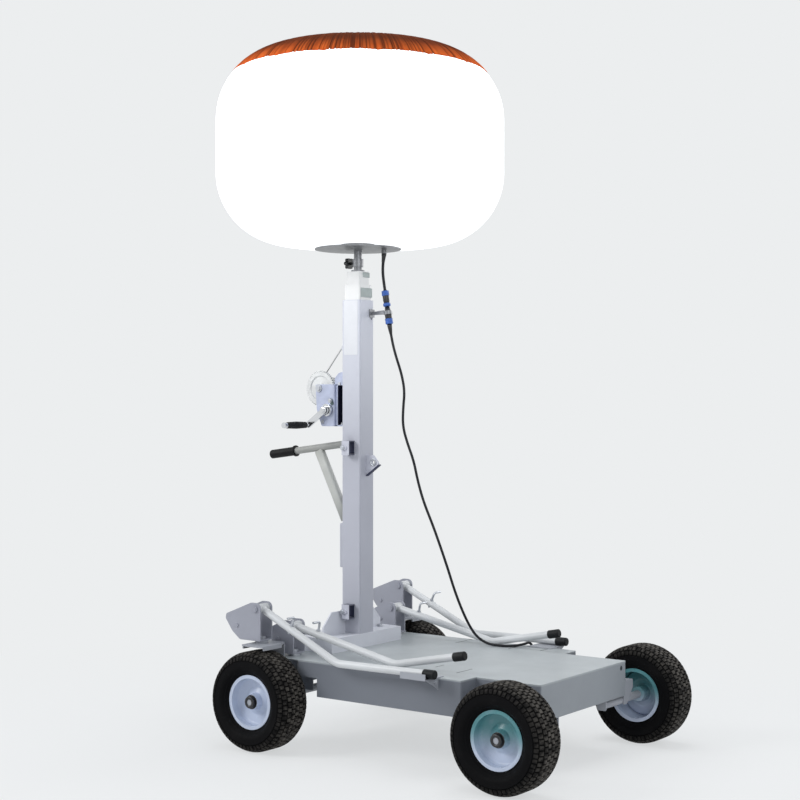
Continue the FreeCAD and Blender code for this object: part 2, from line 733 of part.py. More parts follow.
def rope_pulley():
    """Grooved pulley between two cheeks on the rear face."""
    x = pulley_x()
    groove = PULLEY_R - 4
    profile = ((-6, 0, 0), (-6, PULLEY_R, 1), (-3, PULLEY_R, 0), (-2, groove, 0), (2, groove, 0),
               (3, PULLEY_R, 0), (6, PULLEY_R, 1), (6, 0, 0))
    wheel = turned(profile, V(x, 0, PULLEY_Z), Y_AXIS)
    root = MAST_X - MAST_W / 2
    corners = ((root, PULLEY_Z - 20, 0), (root, PULLEY_Z + 20, 0), (x, PULLEY_Z + 18, 8),
               (x - 15, PULLEY_Z, 10), (x, PULLEY_Z - 18, 8))
    cheeks = [plate(corners, at_side, 6, 3), plate(corners, at_side, -9, 3)]
    return join([wheel] + cheeks)


# Push handle

def handle_slope():
    root = MAST_X - MAST_W / 2
    return (V(HANDLE_END, 0, HANDLE_Z - HANDLE_DROP) - V(root, 0, HANDLE_Z)).normalize()


def handle_bar():
    """Drooping bar welded to a flange on the mast's rear face."""
    root = MAST_X - MAST_W / 2
    start = V(root, 0, HANDLE_Z)
    end = V(HANDLE_END, 0, HANDLE_Z - HANDLE_DROP)
    direction = handle_slope()
    bar = rod(start + direction * FLANGE_T / 2, end - direction * GRIP_CAP, HANDLE_R)
    flange = block((root - FLANGE_T, root), (-FLANGE_HALF, FLANGE_HALF), (HANDLE_Z - FLANGE_HALF, HANDLE_Z + FLANGE_HALF))
    return join([bar, flange])


def handle_brace():
    """Bar from a pad on the mast up to the underside of the handle."""
    root = MAST_X - MAST_W / 2
    pad = block((root - PAD_T, root), (-PAD_HALF, PAD_HALF), (PAD_LOW, PAD_HIGH))
    start = V(root, 0, HANDLE_Z)
    end = V(HANDLE_END, 0, HANDLE_Z - HANDLE_DROP)
    share = (root - BRACE_TOP_X) / (root - HANDLE_END)
    brace = rod(V(root - PAD_T + 3, 0, BRACE_FOOT_Z), start + (end - start) * share, BRACE_R)
    return join([pad, brace.cut(rod(start, end, HANDLE_R))])


def handle_grip():
    """Moulded sleeve over the end of the bar."""
    end = V(HANDLE_END, 0, HANDLE_Z - HANDLE_DROP)
    direction = handle_slope()
    profile = ((-HANDLE_GRIP_LENGTH, HANDLE_R, 0), (-GRIP_CAP, HANDLE_R, 0), (-GRIP_CAP, 0, 0), (0, 0, 0),
               (0, HANDLE_GRIP_R, 4), (-HANDLE_GRIP_LENGTH + 6, HANDLE_GRIP_R, 2),
               (-HANDLE_GRIP_LENGTH + 6, HANDLE_GRIP_R + 4, 0), (-HANDLE_GRIP_LENGTH, HANDLE_GRIP_R + 4, 0))
    return turned(profile, end, direction)


# Winch

def pinion_centre():
    """The pinion's shaft, one centre distance from the drum's."""
    distance = TOOTH_MODULE * (GEAR_TEETH + PINION_TEETH) / 2
    angle = math.radians(PINION_BEARING)
    return V(DRUM_X + distance * math.cos(angle), 0, DRUM_Z + distance * math.sin(angle))


def gear(centre, teeth, phase):
    """A spur gear in the plane of the winch: straight-flanked teeth, thin enough to run free."""
    pitch = TOOTH_MODULE * teeth / 2
    root = pitch - TOOTH_MODULE * 1.15
    tip = pitch + TOOTH_MODULE * 0.8
    step = 2 * math.pi / teeth
    spots = []
    for i in range(teeth):
        middle = phase + i * step
        for radius, share in ((root, -0.30), (tip, -0.13), (tip, 0.13), (root, 0.30)):
            angle = middle + share * step
            spots.append(V(centre.x + radius * math.cos(angle), GEAR_Y, centre.z + radius * math.sin(angle)))
    spots.append(spots[0])
    return Part.Face(Part.makePolygon(spots)).extrude(V(0, GEAR_T, 0))


def winch_frame():
    """Base plate and two side plates with bearings, stiffened by a tie bar."""
    root = MAST_X - MAST_W / 2
    base = plate(((-30, WINCH_BOTTOM, 4), (30, WINCH_BOTTOM, 4), (30, WINCH_TOP, 24), (-30, WINCH_TOP, 24)),
                 at_front, root - WINCH_PLATE_T, WINCH_PLATE_T)
    low = WINCH_BOTTOM
    corners = ((root, low, 0), (root, DRUM_Z + 10, 0), (DRUM_X + 40, DRUM_Z + 10, 20), (DRUM_X + 12, DRUM_Z + 18, 12),
               (DRUM_X - 12, DRUM_Z + 18, 12), (WINCH_REAR, DRUM_Z - 6, 10), (WINCH_REAR, low + 26, 8),
               (WINCH_REAR + 40, low, 8))
    inner = WINCH_HALF - WINCH_PLATE_T
    sides = [plate(corners, at_side, inner, WINCH_PLATE_T), plate(corners, at_side, -WINCH_HALF, WINCH_PLATE_T)]
    wings = [block((root - WINCH_PLATE_T, root), (-WINCH_HALF, WINCH_HALF), (low + 4, DRUM_Z + 6))]
    tie = cross_rod(WINCH_REAR + 14, low + 38, (-inner - 2, inner + 2), 5)
    whole = join([base] + sides + wings + [tie])
    pinion = pinion_centre()
    for x, z, radius in ((DRUM_X, DRUM_Z, SHAFT_R), (pinion.x, pinion.z, SHAFT_R + 2)):
        whole = whole.cut(cross_rod(x, z, (-60, 60), radius + GAP))
    return whole


def winch_drum():
    """Gear, drum with the rope's turns, far flange and shaft."""
    inner = WINCH_HALF - WINCH_PLATE_T
    start = GEAR_Y + GEAR_T
    wheel = gear(V(DRUM_X, 0, DRUM_Z), GEAR_TEETH, 0.0)
    core = cross_rod(DRUM_X, DRUM_Z, (start, inner - 4), DRUM_R)
    flange = cross_rod(DRUM_X, DRUM_Z, (inner - 6, inner - 2), DRUM_FLANGE_R)
    shaft = cross_rod(DRUM_X, DRUM_Z, (-WINCH_HALF - 5, WINCH_HALF + 5), SHAFT_R)
    heads = [cross_rod(DRUM_X, DRUM_Z, (WINCH_HALF + 1, WINCH_HALF + 6), SHAFT_R + 4),
             cross_rod(DRUM_X, DRUM_Z, (-WINCH_HALF - 6, -WINCH_HALF - 1), SHAFT_R + 4)]
    return join([wheel, core, flange, shaft] + heads)


def crank_end():
    """Where the grip's pin stands on the crank arm."""
    centre = pinion_centre()
    angle = math.radians(180 + CRANK_DROP)
    return V(centre.x + CRANK_REACH * math.cos(angle), 0, centre.z + CRANK_REACH * math.sin(angle))


def winch_crank():
    """Pinion, shaft, ratchet wheel, arm and the grip's pin."""
    centre = pinion_centre()
    facing = math.radians(PINION_BEARING + 180)
    phase = facing + math.pi / PINION_TEETH + mesh_lag()
    wheel = gear(centre, PINION_TEETH, phase)
    shaft = cross_rod(centre.x, centre.z, (CRANK_Y, WINCH_HALF + 5), SHAFT_R + 2)
    nut = cross_rod(centre.x, centre.z, (WINCH_HALF + 1, WINCH_HALF + 6), SHAFT_R + 6)
    ratchet = cross_rod(centre.x, centre.z, (-WINCH_HALF - 10, -WINCH_HALF - 3), 22)
    end = crank_end()
    hub = cross_rod(centre.x, centre.z, (CRANK_Y, CRANK_Y + CRANK_T), CRANK_BAR / 2 + 3)
    tip = cross_rod(end.x, end.z, (CRANK_Y, CRANK_Y + CRANK_T), CRANK_BAR / 2)
    along = (end - centre).normalize()
    across = V(-along.z, 0, along.x) * (CRANK_BAR / 2)
    spots = [centre + across, end + across, end - across, centre - across, centre + across]
    bar = Part.Face(Part.makePolygon(spots)).extrude(V(0, CRANK_T, 0))
    bar.translate(V(0, CRANK_Y, 0))
    pin = cross_rod(end.x, end.z, (CRANK_Y - 10 - GRIP_LENGTH - 14, CRANK_Y + 1), 5)
    cap = cross_rod(end.x, end.z, (CRANK_Y - 10 - GRIP_LENGTH - 16, CRANK_Y - 10 - GRIP_LENGTH - 2), 10)
    return join([wheel, shaft, nut, ratchet, hub, tip, bar, pin, cap])


def mesh_lag():
    """Turn that puts a pinion gap on the gear tooth nearest the line of centres."""
    step = 360.0 / GEAR_TEETH
    off = PINION_BEARING - step * round(PINION_BEARING / step)
    return math.radians(off * GEAR_TEETH / PINION_TEETH)


def crank_grip():
    """Barrel grip that turns on the crank's pin."""
    end = crank_end()
    start = CRANK_Y - 10
    profile = ((0, 5 + 0.1, 0), (GRIP_LENGTH, 5 + 0.1, 0), (GRIP_LENGTH, GRIP_R - 2, 2),
               (GRIP_LENGTH * 0.5, GRIP_R, 60), (0, GRIP_R - 2, 2))
    return turned(profile, V(end.x, start, end.z), Y_AXIS * -1)


def winch_rope():
    """Rope pulled straight from the drum to the pulley and over it into the mast."""
    drum = V(DRUM_X, 0, DRUM_Z)
    pulley = V(pulley_x(), 0, PULLEY_Z)
    drum_run = DRUM_R + ROPE_R + GAP
    pulley_run = PULLEY_R - 4 + ROPE_R + GAP
    line = pulley - drum
    share = (drum_run - pulley_run) / line.Length
    line.normalize()
    side = V(-line.z, 0, line.x)
    normal = line * share + side * math.sqrt(1 - share * share)
    start = drum + normal * drum_run
    touch = pulley + normal * pulley_run
    top = pulley + Z_AXIS * pulley_run
    middle = (normal + Z_AXIS).normalize()
    arc = Part.Arc(touch, pulley + middle * pulley_run, top).toShape()
    end = V(MAST_X - MAST_W / 2 + MAST_T, 0, top.z)
    path = Part.Wire([Part.LineSegment(start, touch).toShape(), arc, Part.LineSegment(top, end).toShape()])
    return sweep(path, touch - start, start, ROPE_R)


# Head

def head_pole():
    """Chromed pole with a foot plate, a clamp collar and a stem into the dish."""
    foot = rod(V(MAST_X, 0, INNER_TOP), V(MAST_X, 0, INNER_TOP + 6), POLE_R + 9)
    pole = rod(V(MAST_X, 0, INNER_TOP), V(MAST_X, 0, DISH_Z), POLE_R)
    collar = rod(V(MAST_X, 0, KNOB_Z - 14), V(MAST_X, 0, KNOB_Z + 14), POLE_R + 5)
    return join([foot, pole, collar])


def head_knob():
    """Six-lobed clamp knob on the rear of the collar."""
    start = MAST_X - POLE_R - 5
    stem = rod(V(start, 0, KNOB_Z), V(start - 16, 0, KNOB_Z), 5)
    lobes = [rod(V(start - 14, 0, KNOB_Z), V(start - 28, 0, KNOB_Z), 14)]
    for i in range(6):
        angle = math.radians(60 * i)
        y = 14 * math.cos(angle)
        z = KNOB_Z + 14 * math.sin(angle)
        lobes.append(rod(V(start - 14, y, z), V(start - 28, y, z), 6))
    return join([stem] + lobes)


def lamp_dish():
    """Shallow metal dish under the balloon with the lead's gland."""
    profile = ((0, 0, 0), (0, 60, 0), (DISH_RISE - DISH_RIM, DISH_R, 0), (DISH_RISE, DISH_R, 1),
               (DISH_RISE + 4, 60, 0), (DISH_RISE + 4, 0, 0))
    dish = turned(profile, V(MAST_X, 0, DISH_Z), Z_AXIS)
    neck = rod(V(MAST_X, 0, DISH_Z + DISH_RISE), V(MAST_X, 0, BALLOON_LOW - GAP), 60)
    gland = rod(V(LEAD_GLAND[0], LEAD_GLAND[1], DISH_Z - GLAND_H), V(LEAD_GLAND[0], LEAD_GLAND[1], DISH_Z + 6), GLAND_R)
    return join([dish, neck, gland])


def whole_balloon():
    """Balloon and crown together: upright sides rolled over into flat ends."""
    tall = BALLOON_HIGH - BALLOON_LOW
    profile = ((0, 0, 0), (0, BALLOON_R, BALLOON_SHOULDER), (tall, BALLOON_R, BALLOON_SHOULDER), (tall, 0, 0))
    return turned(profile, V(MAST_X, 0, BALLOON_LOW), Z_AXIS)


def above_seam():
    """The space that the gathered crown takes."""
    reach = BALLOON_R * 1.2
    return block((MAST_X - reach, MAST_X + reach), (-reach, reach), (CAP_FROM, BALLOON_HIGH + 50))


# Power lead

def coupling_half(first, last):
    """Half of the in-line coupling: barrel with a grip ring and a tapered gland."""
    start = coupling_point(first)
    end = coupling_point(last)
    length = (end - start).Length
    profile = ((0, 0, 0), (0, COUPLING_R - 2, 2), (length * 0.24, COUPLING_R - 0.5, 0),
               (length * 0.26, COUPLING_R, 0), (length, COUPLING_R, 1), (length, 0, 0))
    return turned(profile, start, end - start)


def cable_coil():
    """Outer shape of the coil that holds the rest of the cable."""
    x, y = COIL_CENTRE
    ring = Part.makeTorus(COIL_R, COIL_TURN_R, V(x, y, COIL_TURN_R), Z_AXIS)
    return ring


def cable_plug():
    """Round plug lying beside the coil."""
    x, y = COIL_CENTRE
    start = V(x, y + COIL_R + COIL_TURN_R - PLUG_SEAT, PLUG_R)
    profile = ((0, 0, 0), (0, 9, 2), (PLUG_LENGTH * 0.4, PLUG_R - 2, 3), (PLUG_LENGTH * 0.5, PLUG_R, 2),
               (PLUG_LENGTH, PLUG_R, 2), (PLUG_LENGTH, 0, 0))
    return turned(profile, start, Y_AXIS)


os.makedirs("parts", exist_ok=True)
make_wheels()
save("front_axle", axle(WHEELBASE))
save("rear_axle", axle(0.0))
save("deck_pan", deck_pan())
save("mast_base", mast_foot())
for hand, way in SIDES:
    save("leg_shelf_" + hand, join([leg_shelf(way), on_side(swivel_post("outer"), way)]))
    save("swivel_post_" + hand, on_side(swivel_post("inner"), way))
    save("leg_cradle_" + hand, leg_cradle(way))
make_legs()
for node, tube in zip(("mast_outer", "mast_mid", "mast_inner"), mast_tubes()):
    save(node, tube)
save("mast_clips", Part.makeCompound([mast_clip(z) for z in CLIP_Z]))
save("hook_lug", hook_lug())
save("cable_hook", cable_hook())
save("rope_pulley", rope_pulley())
save("handle_bar", handle_bar())
save("handle_brace", handle_brace())
save("handle_grip", handle_grip())
save("winch_frame", winch_frame())
save("winch_drum", winch_drum())
save("winch_crank", winch_crank())
save("crank_grip", crank_grip())
save("winch_rope", winch_rope())
save("head_pole", head_pole())
save("head_knob", head_knob())
save("lamp_dish", lamp_dish())
save("balloon", whole_balloon().cut(above_seam()))
save("balloon_cap", whole_balloon().common(above_seam()))
save("upper_lead", cord("upper lead", UPPER_LEAD, LEAD_R))
save("coupling_upper", coupling_half(0, COUPLING_SPLIT))
lower_half = coupling_half(1, COUPLING_SPLIT)
save("coupling_lower", lower_half)
save("lower_cable", cord("lower cable", LOWER_CABLE, CABLE_R))
save("cable_coil", cable_coil())
save("cable_plug", cable_plug())

shift = (MAST_X - BALLOON_R + WHEELBASE + TYRE_D / 2) / 2
print("row shift", shift)
for kind in LEGS:
    print(kind, "pivot", leg_frame(kind)[0] - V(shift, 0, 0))
print("pinion", pinion_centre() - V(shift, 0, 0), "crank end", crank_end())
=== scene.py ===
"""Balloon light trolley: finishes, tyre tread, balloon cloth, winch, cables and small trim.

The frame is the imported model's: +X forward, +Y to the left, +Z up, Z = 0 on the floor, in metres. Places
are mostly given in millimetres from the floor point under the rear axle's middle; place() turns them
into that frame.
"""
import bmesh
import bpy
import math
import numpy as np
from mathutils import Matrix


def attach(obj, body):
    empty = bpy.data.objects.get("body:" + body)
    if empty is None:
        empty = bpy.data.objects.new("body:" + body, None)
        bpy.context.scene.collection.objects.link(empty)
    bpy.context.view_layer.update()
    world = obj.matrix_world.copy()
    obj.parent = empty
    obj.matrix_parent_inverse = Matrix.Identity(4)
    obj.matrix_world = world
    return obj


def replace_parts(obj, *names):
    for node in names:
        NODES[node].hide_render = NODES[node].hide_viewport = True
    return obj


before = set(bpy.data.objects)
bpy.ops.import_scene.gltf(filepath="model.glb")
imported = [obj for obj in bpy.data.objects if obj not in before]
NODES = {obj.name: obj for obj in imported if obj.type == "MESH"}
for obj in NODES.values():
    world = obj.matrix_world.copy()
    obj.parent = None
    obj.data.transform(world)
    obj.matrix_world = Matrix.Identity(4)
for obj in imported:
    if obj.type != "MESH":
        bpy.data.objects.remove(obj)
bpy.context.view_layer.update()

REAR_X = -0.347
TAU = 2 * math.pi
POLE = 0.0001  # radius at which a turned profile closes
X, Y, Z = range(3)


def place(points):
    """Millimetres from the rear axle's floor point, as metres in the model's frame."""
    return np.asarray(points, float) / 1000 + [REAR_X, 0, 0]


# Meshes

def new_mesh(name, verts, faces, body, finish, smooth=True):
    """A mesh piece from points and faces, turned right side out, riding on a body."""
    mesh = bpy.data.meshes.new(name)
    mesh.from_pydata(np.asarray(verts, float).reshape(-1, 3).tolist(), [], [list(f) for f in faces])
    mesh.polygons.foreach_set("use_smooth", np.full(len(mesh.polygons), smooth))
    mesh.update()
    piece = bpy.data.objects.new(name, mesh)
    bpy.context.scene.collection.objects.link(piece)
    piece.data.materials.append(FINISH[finish])
    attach(piece, body)
    outward(piece)
    return piece


def outward(piece):
    """Turn a closed mesh right side out: its signed volume must be positive."""
    mesh = piece.data
    spots = np.empty(len(mesh.vertices) * 3)
    mesh.vertices.foreach_get("co", spots)
    mesh.calc_loop_triangles()
    corners = np.empty(len(mesh.loop_triangles) * 3, int)
    mesh.loop_triangles.foreach_get("vertices", corners)
    a, b, c = np.moveaxis(spots.reshape(-1, 3)[corners.reshape(-1, 3)], 1, 0)
    if np.einsum("ij,ij->i", a, np.cross(b, c)).sum() < 0:
        mesh.flip_normals()


def grid_faces(rows, cols, wrap_rows=False, first=0):
    """Quads over a grid of rows by cols points: each row is closed, and the last row meets the first if asked."""
    a, b = np.meshgrid(np.arange(rows if wrap_rows else rows - 1), np.arange(cols), indexing="ij")
    a1 = (a + 1) % rows
    b1 = (b + 1) % cols
    return first + np.stack([a * cols + b, a * cols + b1, a1 * cols + b1, a1 * cols + b], -1).reshape(-1, 4)


def rounded(corners, radii, per=6):
    """Points along a polyline whose inner corners are replaced by arcs of the given radii."""
    pts = [np.array(corners[0], float)]
    for i in range(1, len(corners) - 1):
        p = np.array(corners[i], float)
        a = np.array(corners[i - 1], float) - p
        b = np.array(corners[i + 1], float) - p
        a /= np.linalg.norm(a)
        b /= np.linalg.norm(b)
        half = math.acos(np.clip(a @ b, -1, 1)) / 2
        centre = p + (a + b) / np.linalg.norm(a + b) * radii[i - 1] / math.sin(half)
        start = p + a * radii[i - 1] / math.tan(half) - centre
        end = p + b * radii[i - 1] / math.tan(half) - centre
        sweep = math.pi - 2 * half
        t = np.linspace(0, 1, per)[:, None]
        pts += list(centre + (np.sin((1 - t) * sweep) * start + np.sin(t * sweep) * end) / math.sin(sweep))
    pts.append(np.array(corners[-1], float))
    return np.array(pts)


def loop(corners, radius, per=6):
    """A closed outline: the corner points with each corner rounded to one radius."""
    corners = [np.array(c, float) for c in corners]
    start = (corners[0] + corners[-1]) / 2
    return rounded([start] + corners + [start], [radius] * len(corners), per)[:-1]


def across(axis):
    """An axis made one long, and two unit directions square to it and to each other."""
    axis = np.asarray(axis, float) / np.linalg.norm(axis)
    side = np.cross(axis, [0.3, 0.2, 1.0] if abs(axis[2]) < 0.9 else [1.0, 0, 0])
    side /= np.linalg.norm(side)
    return axis, side, np.cross(axis, side)


def turned(profile, centre, axis, steps, sides=0, hexed=()):
    """Points of a closed (along, radius) profile turned about an axis; rows in hexed keep flat sides.

    A flat-sided row's radius is its corner radius times cos(pi / sides) over the cosine of the angle
    from the middle of the nearest flat.
    """
    profile = np.asarray(profile, float)
    axis, side, other = across(axis)
    t = np.linspace(0, TAU, steps, endpoint=False)
    spoke = np.cos(t)[:, None] * side + np.sin(t)[:, None] * other
    radius = np.repeat(profile[:, 1:], steps, 1)
    if sides:
        flat = math.cos(math.pi / sides) / np.cos((t % (TAU / sides)) - math.pi / sides)
        rows = np.isin(np.arange(len(profile)), hexed)[:, None]
        radius = np.where(rows, radius * flat, radius)
    return np.asarray(centre, float) + profile[:, None, :1] * axis + radius[:, :, None] * spoke


def ring_piece(name, profile, centre, axis, body, finish, slot, steps):
    """A closed profile of (along, radius) points, in metres, turned about an axis through centre."""
    verts = turned(profile, centre, axis, steps)
    return new_mesh(name, verts, grid_faces(len(profile), steps, wrap_rows=True), body, finish)


def bolts(name, spots, body, finish="fitting"):
    """Washers with six-sided heads in one mesh: each spot is centre, axis, corner radius and height, in mm."""
    verts = []
    faces = []
    steps = 36
    for centre, axis, radius, height in spots:
        washer = 0.0008 * radius ** 0.4
        r = radius / 1000
        h = height / 1000
        profile = ((0, POLE), (0, r * 1.45), (washer, r * 1.5), (washer * 1.8, r * 1.42), (washer * 1.8, r),
                   (h * 0.88, r), (h, r * 0.86), (h, r * 0.3), (h * 0.99, POLE))
        faces.append(grid_faces(len(profile), steps, wrap_rows=True, first=len(verts) * len(profile) * steps))
        verts.append(turned(profile, place(centre), axis, steps, 6, (4, 5)))
    return new_mesh(name, np.array(verts), np.concatenate(faces), body, finish, smooth=False)


def rect(low_a, high_a, low_b, high_b):
    """Corners of a rectangle, in order round it."""
    return ((low_a, low_b), (high_a, low_b), (high_a, high_b), (low_a, high_b))


def slab(outline, axis, at, thick):
    """A part for plates(): an outline in two coordinates, put at one place along the third axis."""
    return np.insert(np.asarray(outline, float), axis, at, 1), np.eye(3)[axis] * thick


def plates(name, parts, body, finish, bevel=0.0006):
    """Flat plates in one mesh, each an outline carried along a straight thickness, with small bevels.

    Each part is a ring of corner points in mm and the thickness vector in mm. A ring whose summed cross
    products point against its thickness is read the other way round, so that its faces look outwards.
    """
    verts = []
    faces = []
    for ring, thick in parts:
        base = place(ring)
        if np.cross(base - base[0], np.roll(base, -1, 0) - base[0]).sum(0) @ np.asarray(thick, float) < 0:
            base = base[::-1]
        n = len(base)
        first = sum(len(v) for v in verts)
        verts.append(np.concatenate([base, base + np.asarray(thick, float) / 1000]))
        faces += [[first + i for i in range(n - 1, -1, -1)], [first + i for i in range(n, 2 * n)]]
        faces += [[first + i, first + (i + 1) % n, first + (i + 1) % n + n, first + i + n] for i in range(n)]
    piece = new_mesh(name, np.concatenate(verts), faces, body, finish, smooth=False)
    if bevel:
        soften = piece.modifiers.new("edge", "BEVEL")
        soften.width = bevel
        soften.segments = 2
        soften.limit_method = "ANGLE"
    return piece


def sweep(name, path, section, up, body, finish, slot=None):
    """A closed section carried along a path of points in mm, with both ends closed.

    The section's first number lies along path x up, its second along the direction square to both.
    """
    line = place(path)
    way = np.gradient(line, axis=0)
    way /= np.linalg.norm(way, axis=1)[:, None]
    side = np.cross(way, up)
    side /= np.linalg.norm(side, axis=1)[:, None]
    lift = np.cross(side, way)
    section = np.asarray(section, float) / 1000
    verts = line[:, None] + section[None, :, :1] * side[:, None] + section[None, :, 1:] * lift[:, None]
    n = len(section)
    faces = grid_faces(len(line), n).tolist()
    faces += [list(range(n - 1, -1, -1)), list(range((len(line) - 1) * n, len(line) * n))]
    return new_mesh(name, verts, faces, body, finish)


def circle(radius, steps):
    """Points of a circle as a section, in mm."""
    t = np.linspace(0, TAU, steps, endpoint=False)
    return np.stack([radius * np.cos(t), radius * np.sin(t)], -1)


# Finishes

class Value:
    """A shader value: arithmetic written on it adds Math nodes to its finish."""

    def __init__(self, finish, socket):
        self.finish = finish
        self.socket = socket

    def math(self, operation, *values):
        """One Math node over values and numbers."""
        node = self.finish.tree.nodes.new("ShaderNodeMath")
        node.operation = operation
        for spot, value in enumerate(values):
            self.finish.join(value, node.inputs[spot])
        return Value(self.finish, node.outputs[0])

    def __add__(self, other):
        return self.math("ADD", self, other)

    def __sub__(self, other):
        return self.math("SUBTRACT", self, other)

    def __rsub__(self, other):
        return self.math("SUBTRACT", other, self)

    def __mul__(self, other):
        return self.math("MULTIPLY", self, other)

    def __abs__(self):
        return self.math("ABSOLUTE", self)

    __radd__ = __add__
    __rmul__ = __mul__

    def between(self, low, high):
        """0 below low, 1 above high, and a smooth step from one to the other."""
        return self.finish.node("ShaderNodeMapRange", {"interpolation_type": "SMOOTHSTEP"},
                                {"Value": self, "From Min": low, "From Max": high})


def socket_name(word):
    """The shader's own spelling of a socket: base_color is Base Color."""
    return word.replace("_", " ").title().replace("Ior", "IOR")


class Finish:
    """A material being made: its tree, its shader and the nodes that it uses."""

    def __init__(self, name, **constants):
        self.material = bpy.data.materials.new(name)
        self.material.use_nodes = True
        self.tree = self.material.node_tree
        self.shader = self.tree.nodes["Principled BSDF"]
        for key, value in constants.items():
            self.shader.inputs[socket_name(key)].default_value = value

    def join(self, value, target):
        """Link a value to a socket, or set the socket to a number or colour."""
        if isinstance(value, Value):
            self.tree.links.new(value.socket, target)
        else:
            target.default_value = value

    def node(self, kind, settings=None, sockets=None, output=0):
        """Any other node: its type, its settings, then values or links of its sockets."""
        node = self.tree.nodes.new(kind)
        for key, value in (settings or {}).items():
            setattr(node, key, value)
        for key, value in (sockets or {}).items():
            self.join(value, node.inputs[key])
        return Value(self, node.outputs[output])

    def spot(self, stretch=None):
        """Object coordinates, stretched where asked."""
        here = self.node("ShaderNodeTexCoord", output=3)
        if stretch:
            here = self.node("ShaderNodeMapping", None, {"Vector": here, "Scale": stretch})
        return here

    def axes(self):
        """The x, y and z of object coordinates as three values."""
        split = self.tree.nodes.new("ShaderNodeSeparateXYZ")
        self.tree.links.new(self.spot().socket, split.inputs[0])
        return [Value(self, out) for out in split.outputs]

    def noise(self, scale, detail, stretch=None, distortion=0.0):
        """Noise over the object, from 0 to 1."""
        return self.node("ShaderNodeTexNoise", None, {"Vector": self.spot(stretch), "Scale": scale,
                                                      "Detail": detail, "Distortion": distortion})

    def carried(self, name):
        """A number that the mesh carries at its points."""
        return self.node("ShaderNodeAttribute", {"attribute_name": name}, output=2)

    def mix(self, factor, low, high):
        """A colour from low to high by a factor."""
        ends = [c if isinstance(c, Value) else (*c, 1) for c in (low, high)]
        return self.node("ShaderNodeMix", {"data_type": "RGBA"}, {0: factor, 6: ends[0], 7: ends[1]}, 2)

    def bump(self, height, distance, strength):
        """A normal from a height between 0 and 1 and the distance in metres that it stands for."""
        return self.node("ShaderNodeBump", None,
                         {"Height": height, "Distance": distance, "Strength": strength})

    def done(self, **varied):
        """Join what varies over the surface to the shader and give the material."""
        for key, value in varied.items():
            self.join(value, self.shader.inputs[socket_name(key)])
        return self.material


def shade(colour, factor):
    """A colour made darker or lighter."""
    return tuple(min(1.0, c * factor) for c in colour)


PAINT_SHINE = 0.35
STRETCHED = (1, 1, 0.25)


def paint_tone(f, colour, spread, rubbed, scuffed, painted_height_light=None):
    """Paint's colour: slow drift, rubbed darker patches, a little pale dust on top, and painted light by height
    where asked.
    """
    drift = f.noise(5.0, 3.0).between(0.3, 0.7)
    tone = f.mix(drift, shade(colour, 1 - spread), shade(colour, 1 + spread))
    # Painted light: between two heights the colour moves to a second, lighter or darker one.
    if painted_height_light:
        low, high, second = painted_height_light
        tone = f.mix(f.axes()[Z].between(low, high), tone, second)
    tone = f.mix(f.noise(34.0, 6.0).between(0.54, 0.72) * rubbed, tone, shade(colour, 0.8))
    return f.mix(f.noise(9.0, 8.0, STRETCHED).between(0.62, 0.75) * scuffed, tone, shade(colour, 1.3))


def painted(f, tone, rough):
    """Finish a paint: its colour, uneven gloss and fine orange peel."""
    return f.done(base_color=tone, roughness=f.noise(18.0, 5.0) * 0.16 + (rough - 0.08),
                  normal=f.bump(f.noise(650.0, 2.0) + f.noise(40.0, 2.0) * 2.0, 0.00012, 0.5))


def paint(name, colour, rough, spread, rubbed=0.10, painted_height_light=None):
    """Stoved paint. The last argument is two heights in metres and the colour reached from the first to the
    second: light and shade painted in by height.
    """
    f = Finish(name, specular_ior_level=PAINT_SHINE)
    return painted(f, paint_tone(f, colour, spread, rubbed, rubbed * 0.6, painted_height_light), rough)


def deck_paint(name, colour, rough):
    """The deck's paint, with painted shade darkening its upright walls, most of all on the long sides."""
    f = Finish(name, specular_ior_level=PAINT_SHINE)
    y, z = f.axes()[1:]
    wall = 1 - z.between(0.290, 0.2965)
    side = wall * abs(y).between(0.266, 0.272)
    tone = paint_tone(f, colour, 0.05, 0.16, 0.1)
    # Each film tone here is painted shade: upright walls darken towards grey-blue, the long side walls more.
    for mask, share, film in ((wall, 0.55, (0.54, 0.54, 0.60)), (side, 0.62, (0.30, 0.30, 0.36))):
        tone = f.mix(mask * share, tone, tuple(c * s for c, s in zip(colour, film)))
    return painted(f, tone, rough)


def zinc(name, colour, rough, lines=(0.06, 1.0, 1.0), metal=0.8):
    """Zinc plating: softly clouded metal with fine drawing lines along the piece."""
    f = Finish(name, metallic=metal)
    cloud = f.noise(26.0, 5.0, None, 0.6).between(0.3, 0.72)
    spangle = f.noise(140.0, 3.0).between(0.4, 0.6) * 0.35
    tone = f.mix(cloud, shade(colour, 0.86), shade(colour, 1.08))
    return f.done(base_color=f.mix(spangle, tone, shade(colour, 0.9)),
                  roughness=f.noise(60.0, 6.0) * 0.2 + (rough - 0.08),
                  normal=f.bump(f.noise(240.0, 3.0, lines), 0.00008, 0.6))


def rubber(name, colour, rough, dusty, dust, fine=900.0):
    """Rubber: near black, a powdery bloom in patches and a fine pebble."""
    f = Finish(name, specular_ior_level=0.15)
    bloom = f.noise(22.0, 7.0).between(0.45, 0.7) * dust
    return f.done(base_color=f.mix(bloom, colour, dusty), roughness=f.noise(80.0, 4.0) * 0.2 + (rough - 0.08),
                  normal=f.bump(f.noise(fine, 3.0), 0.00025, 0.5))


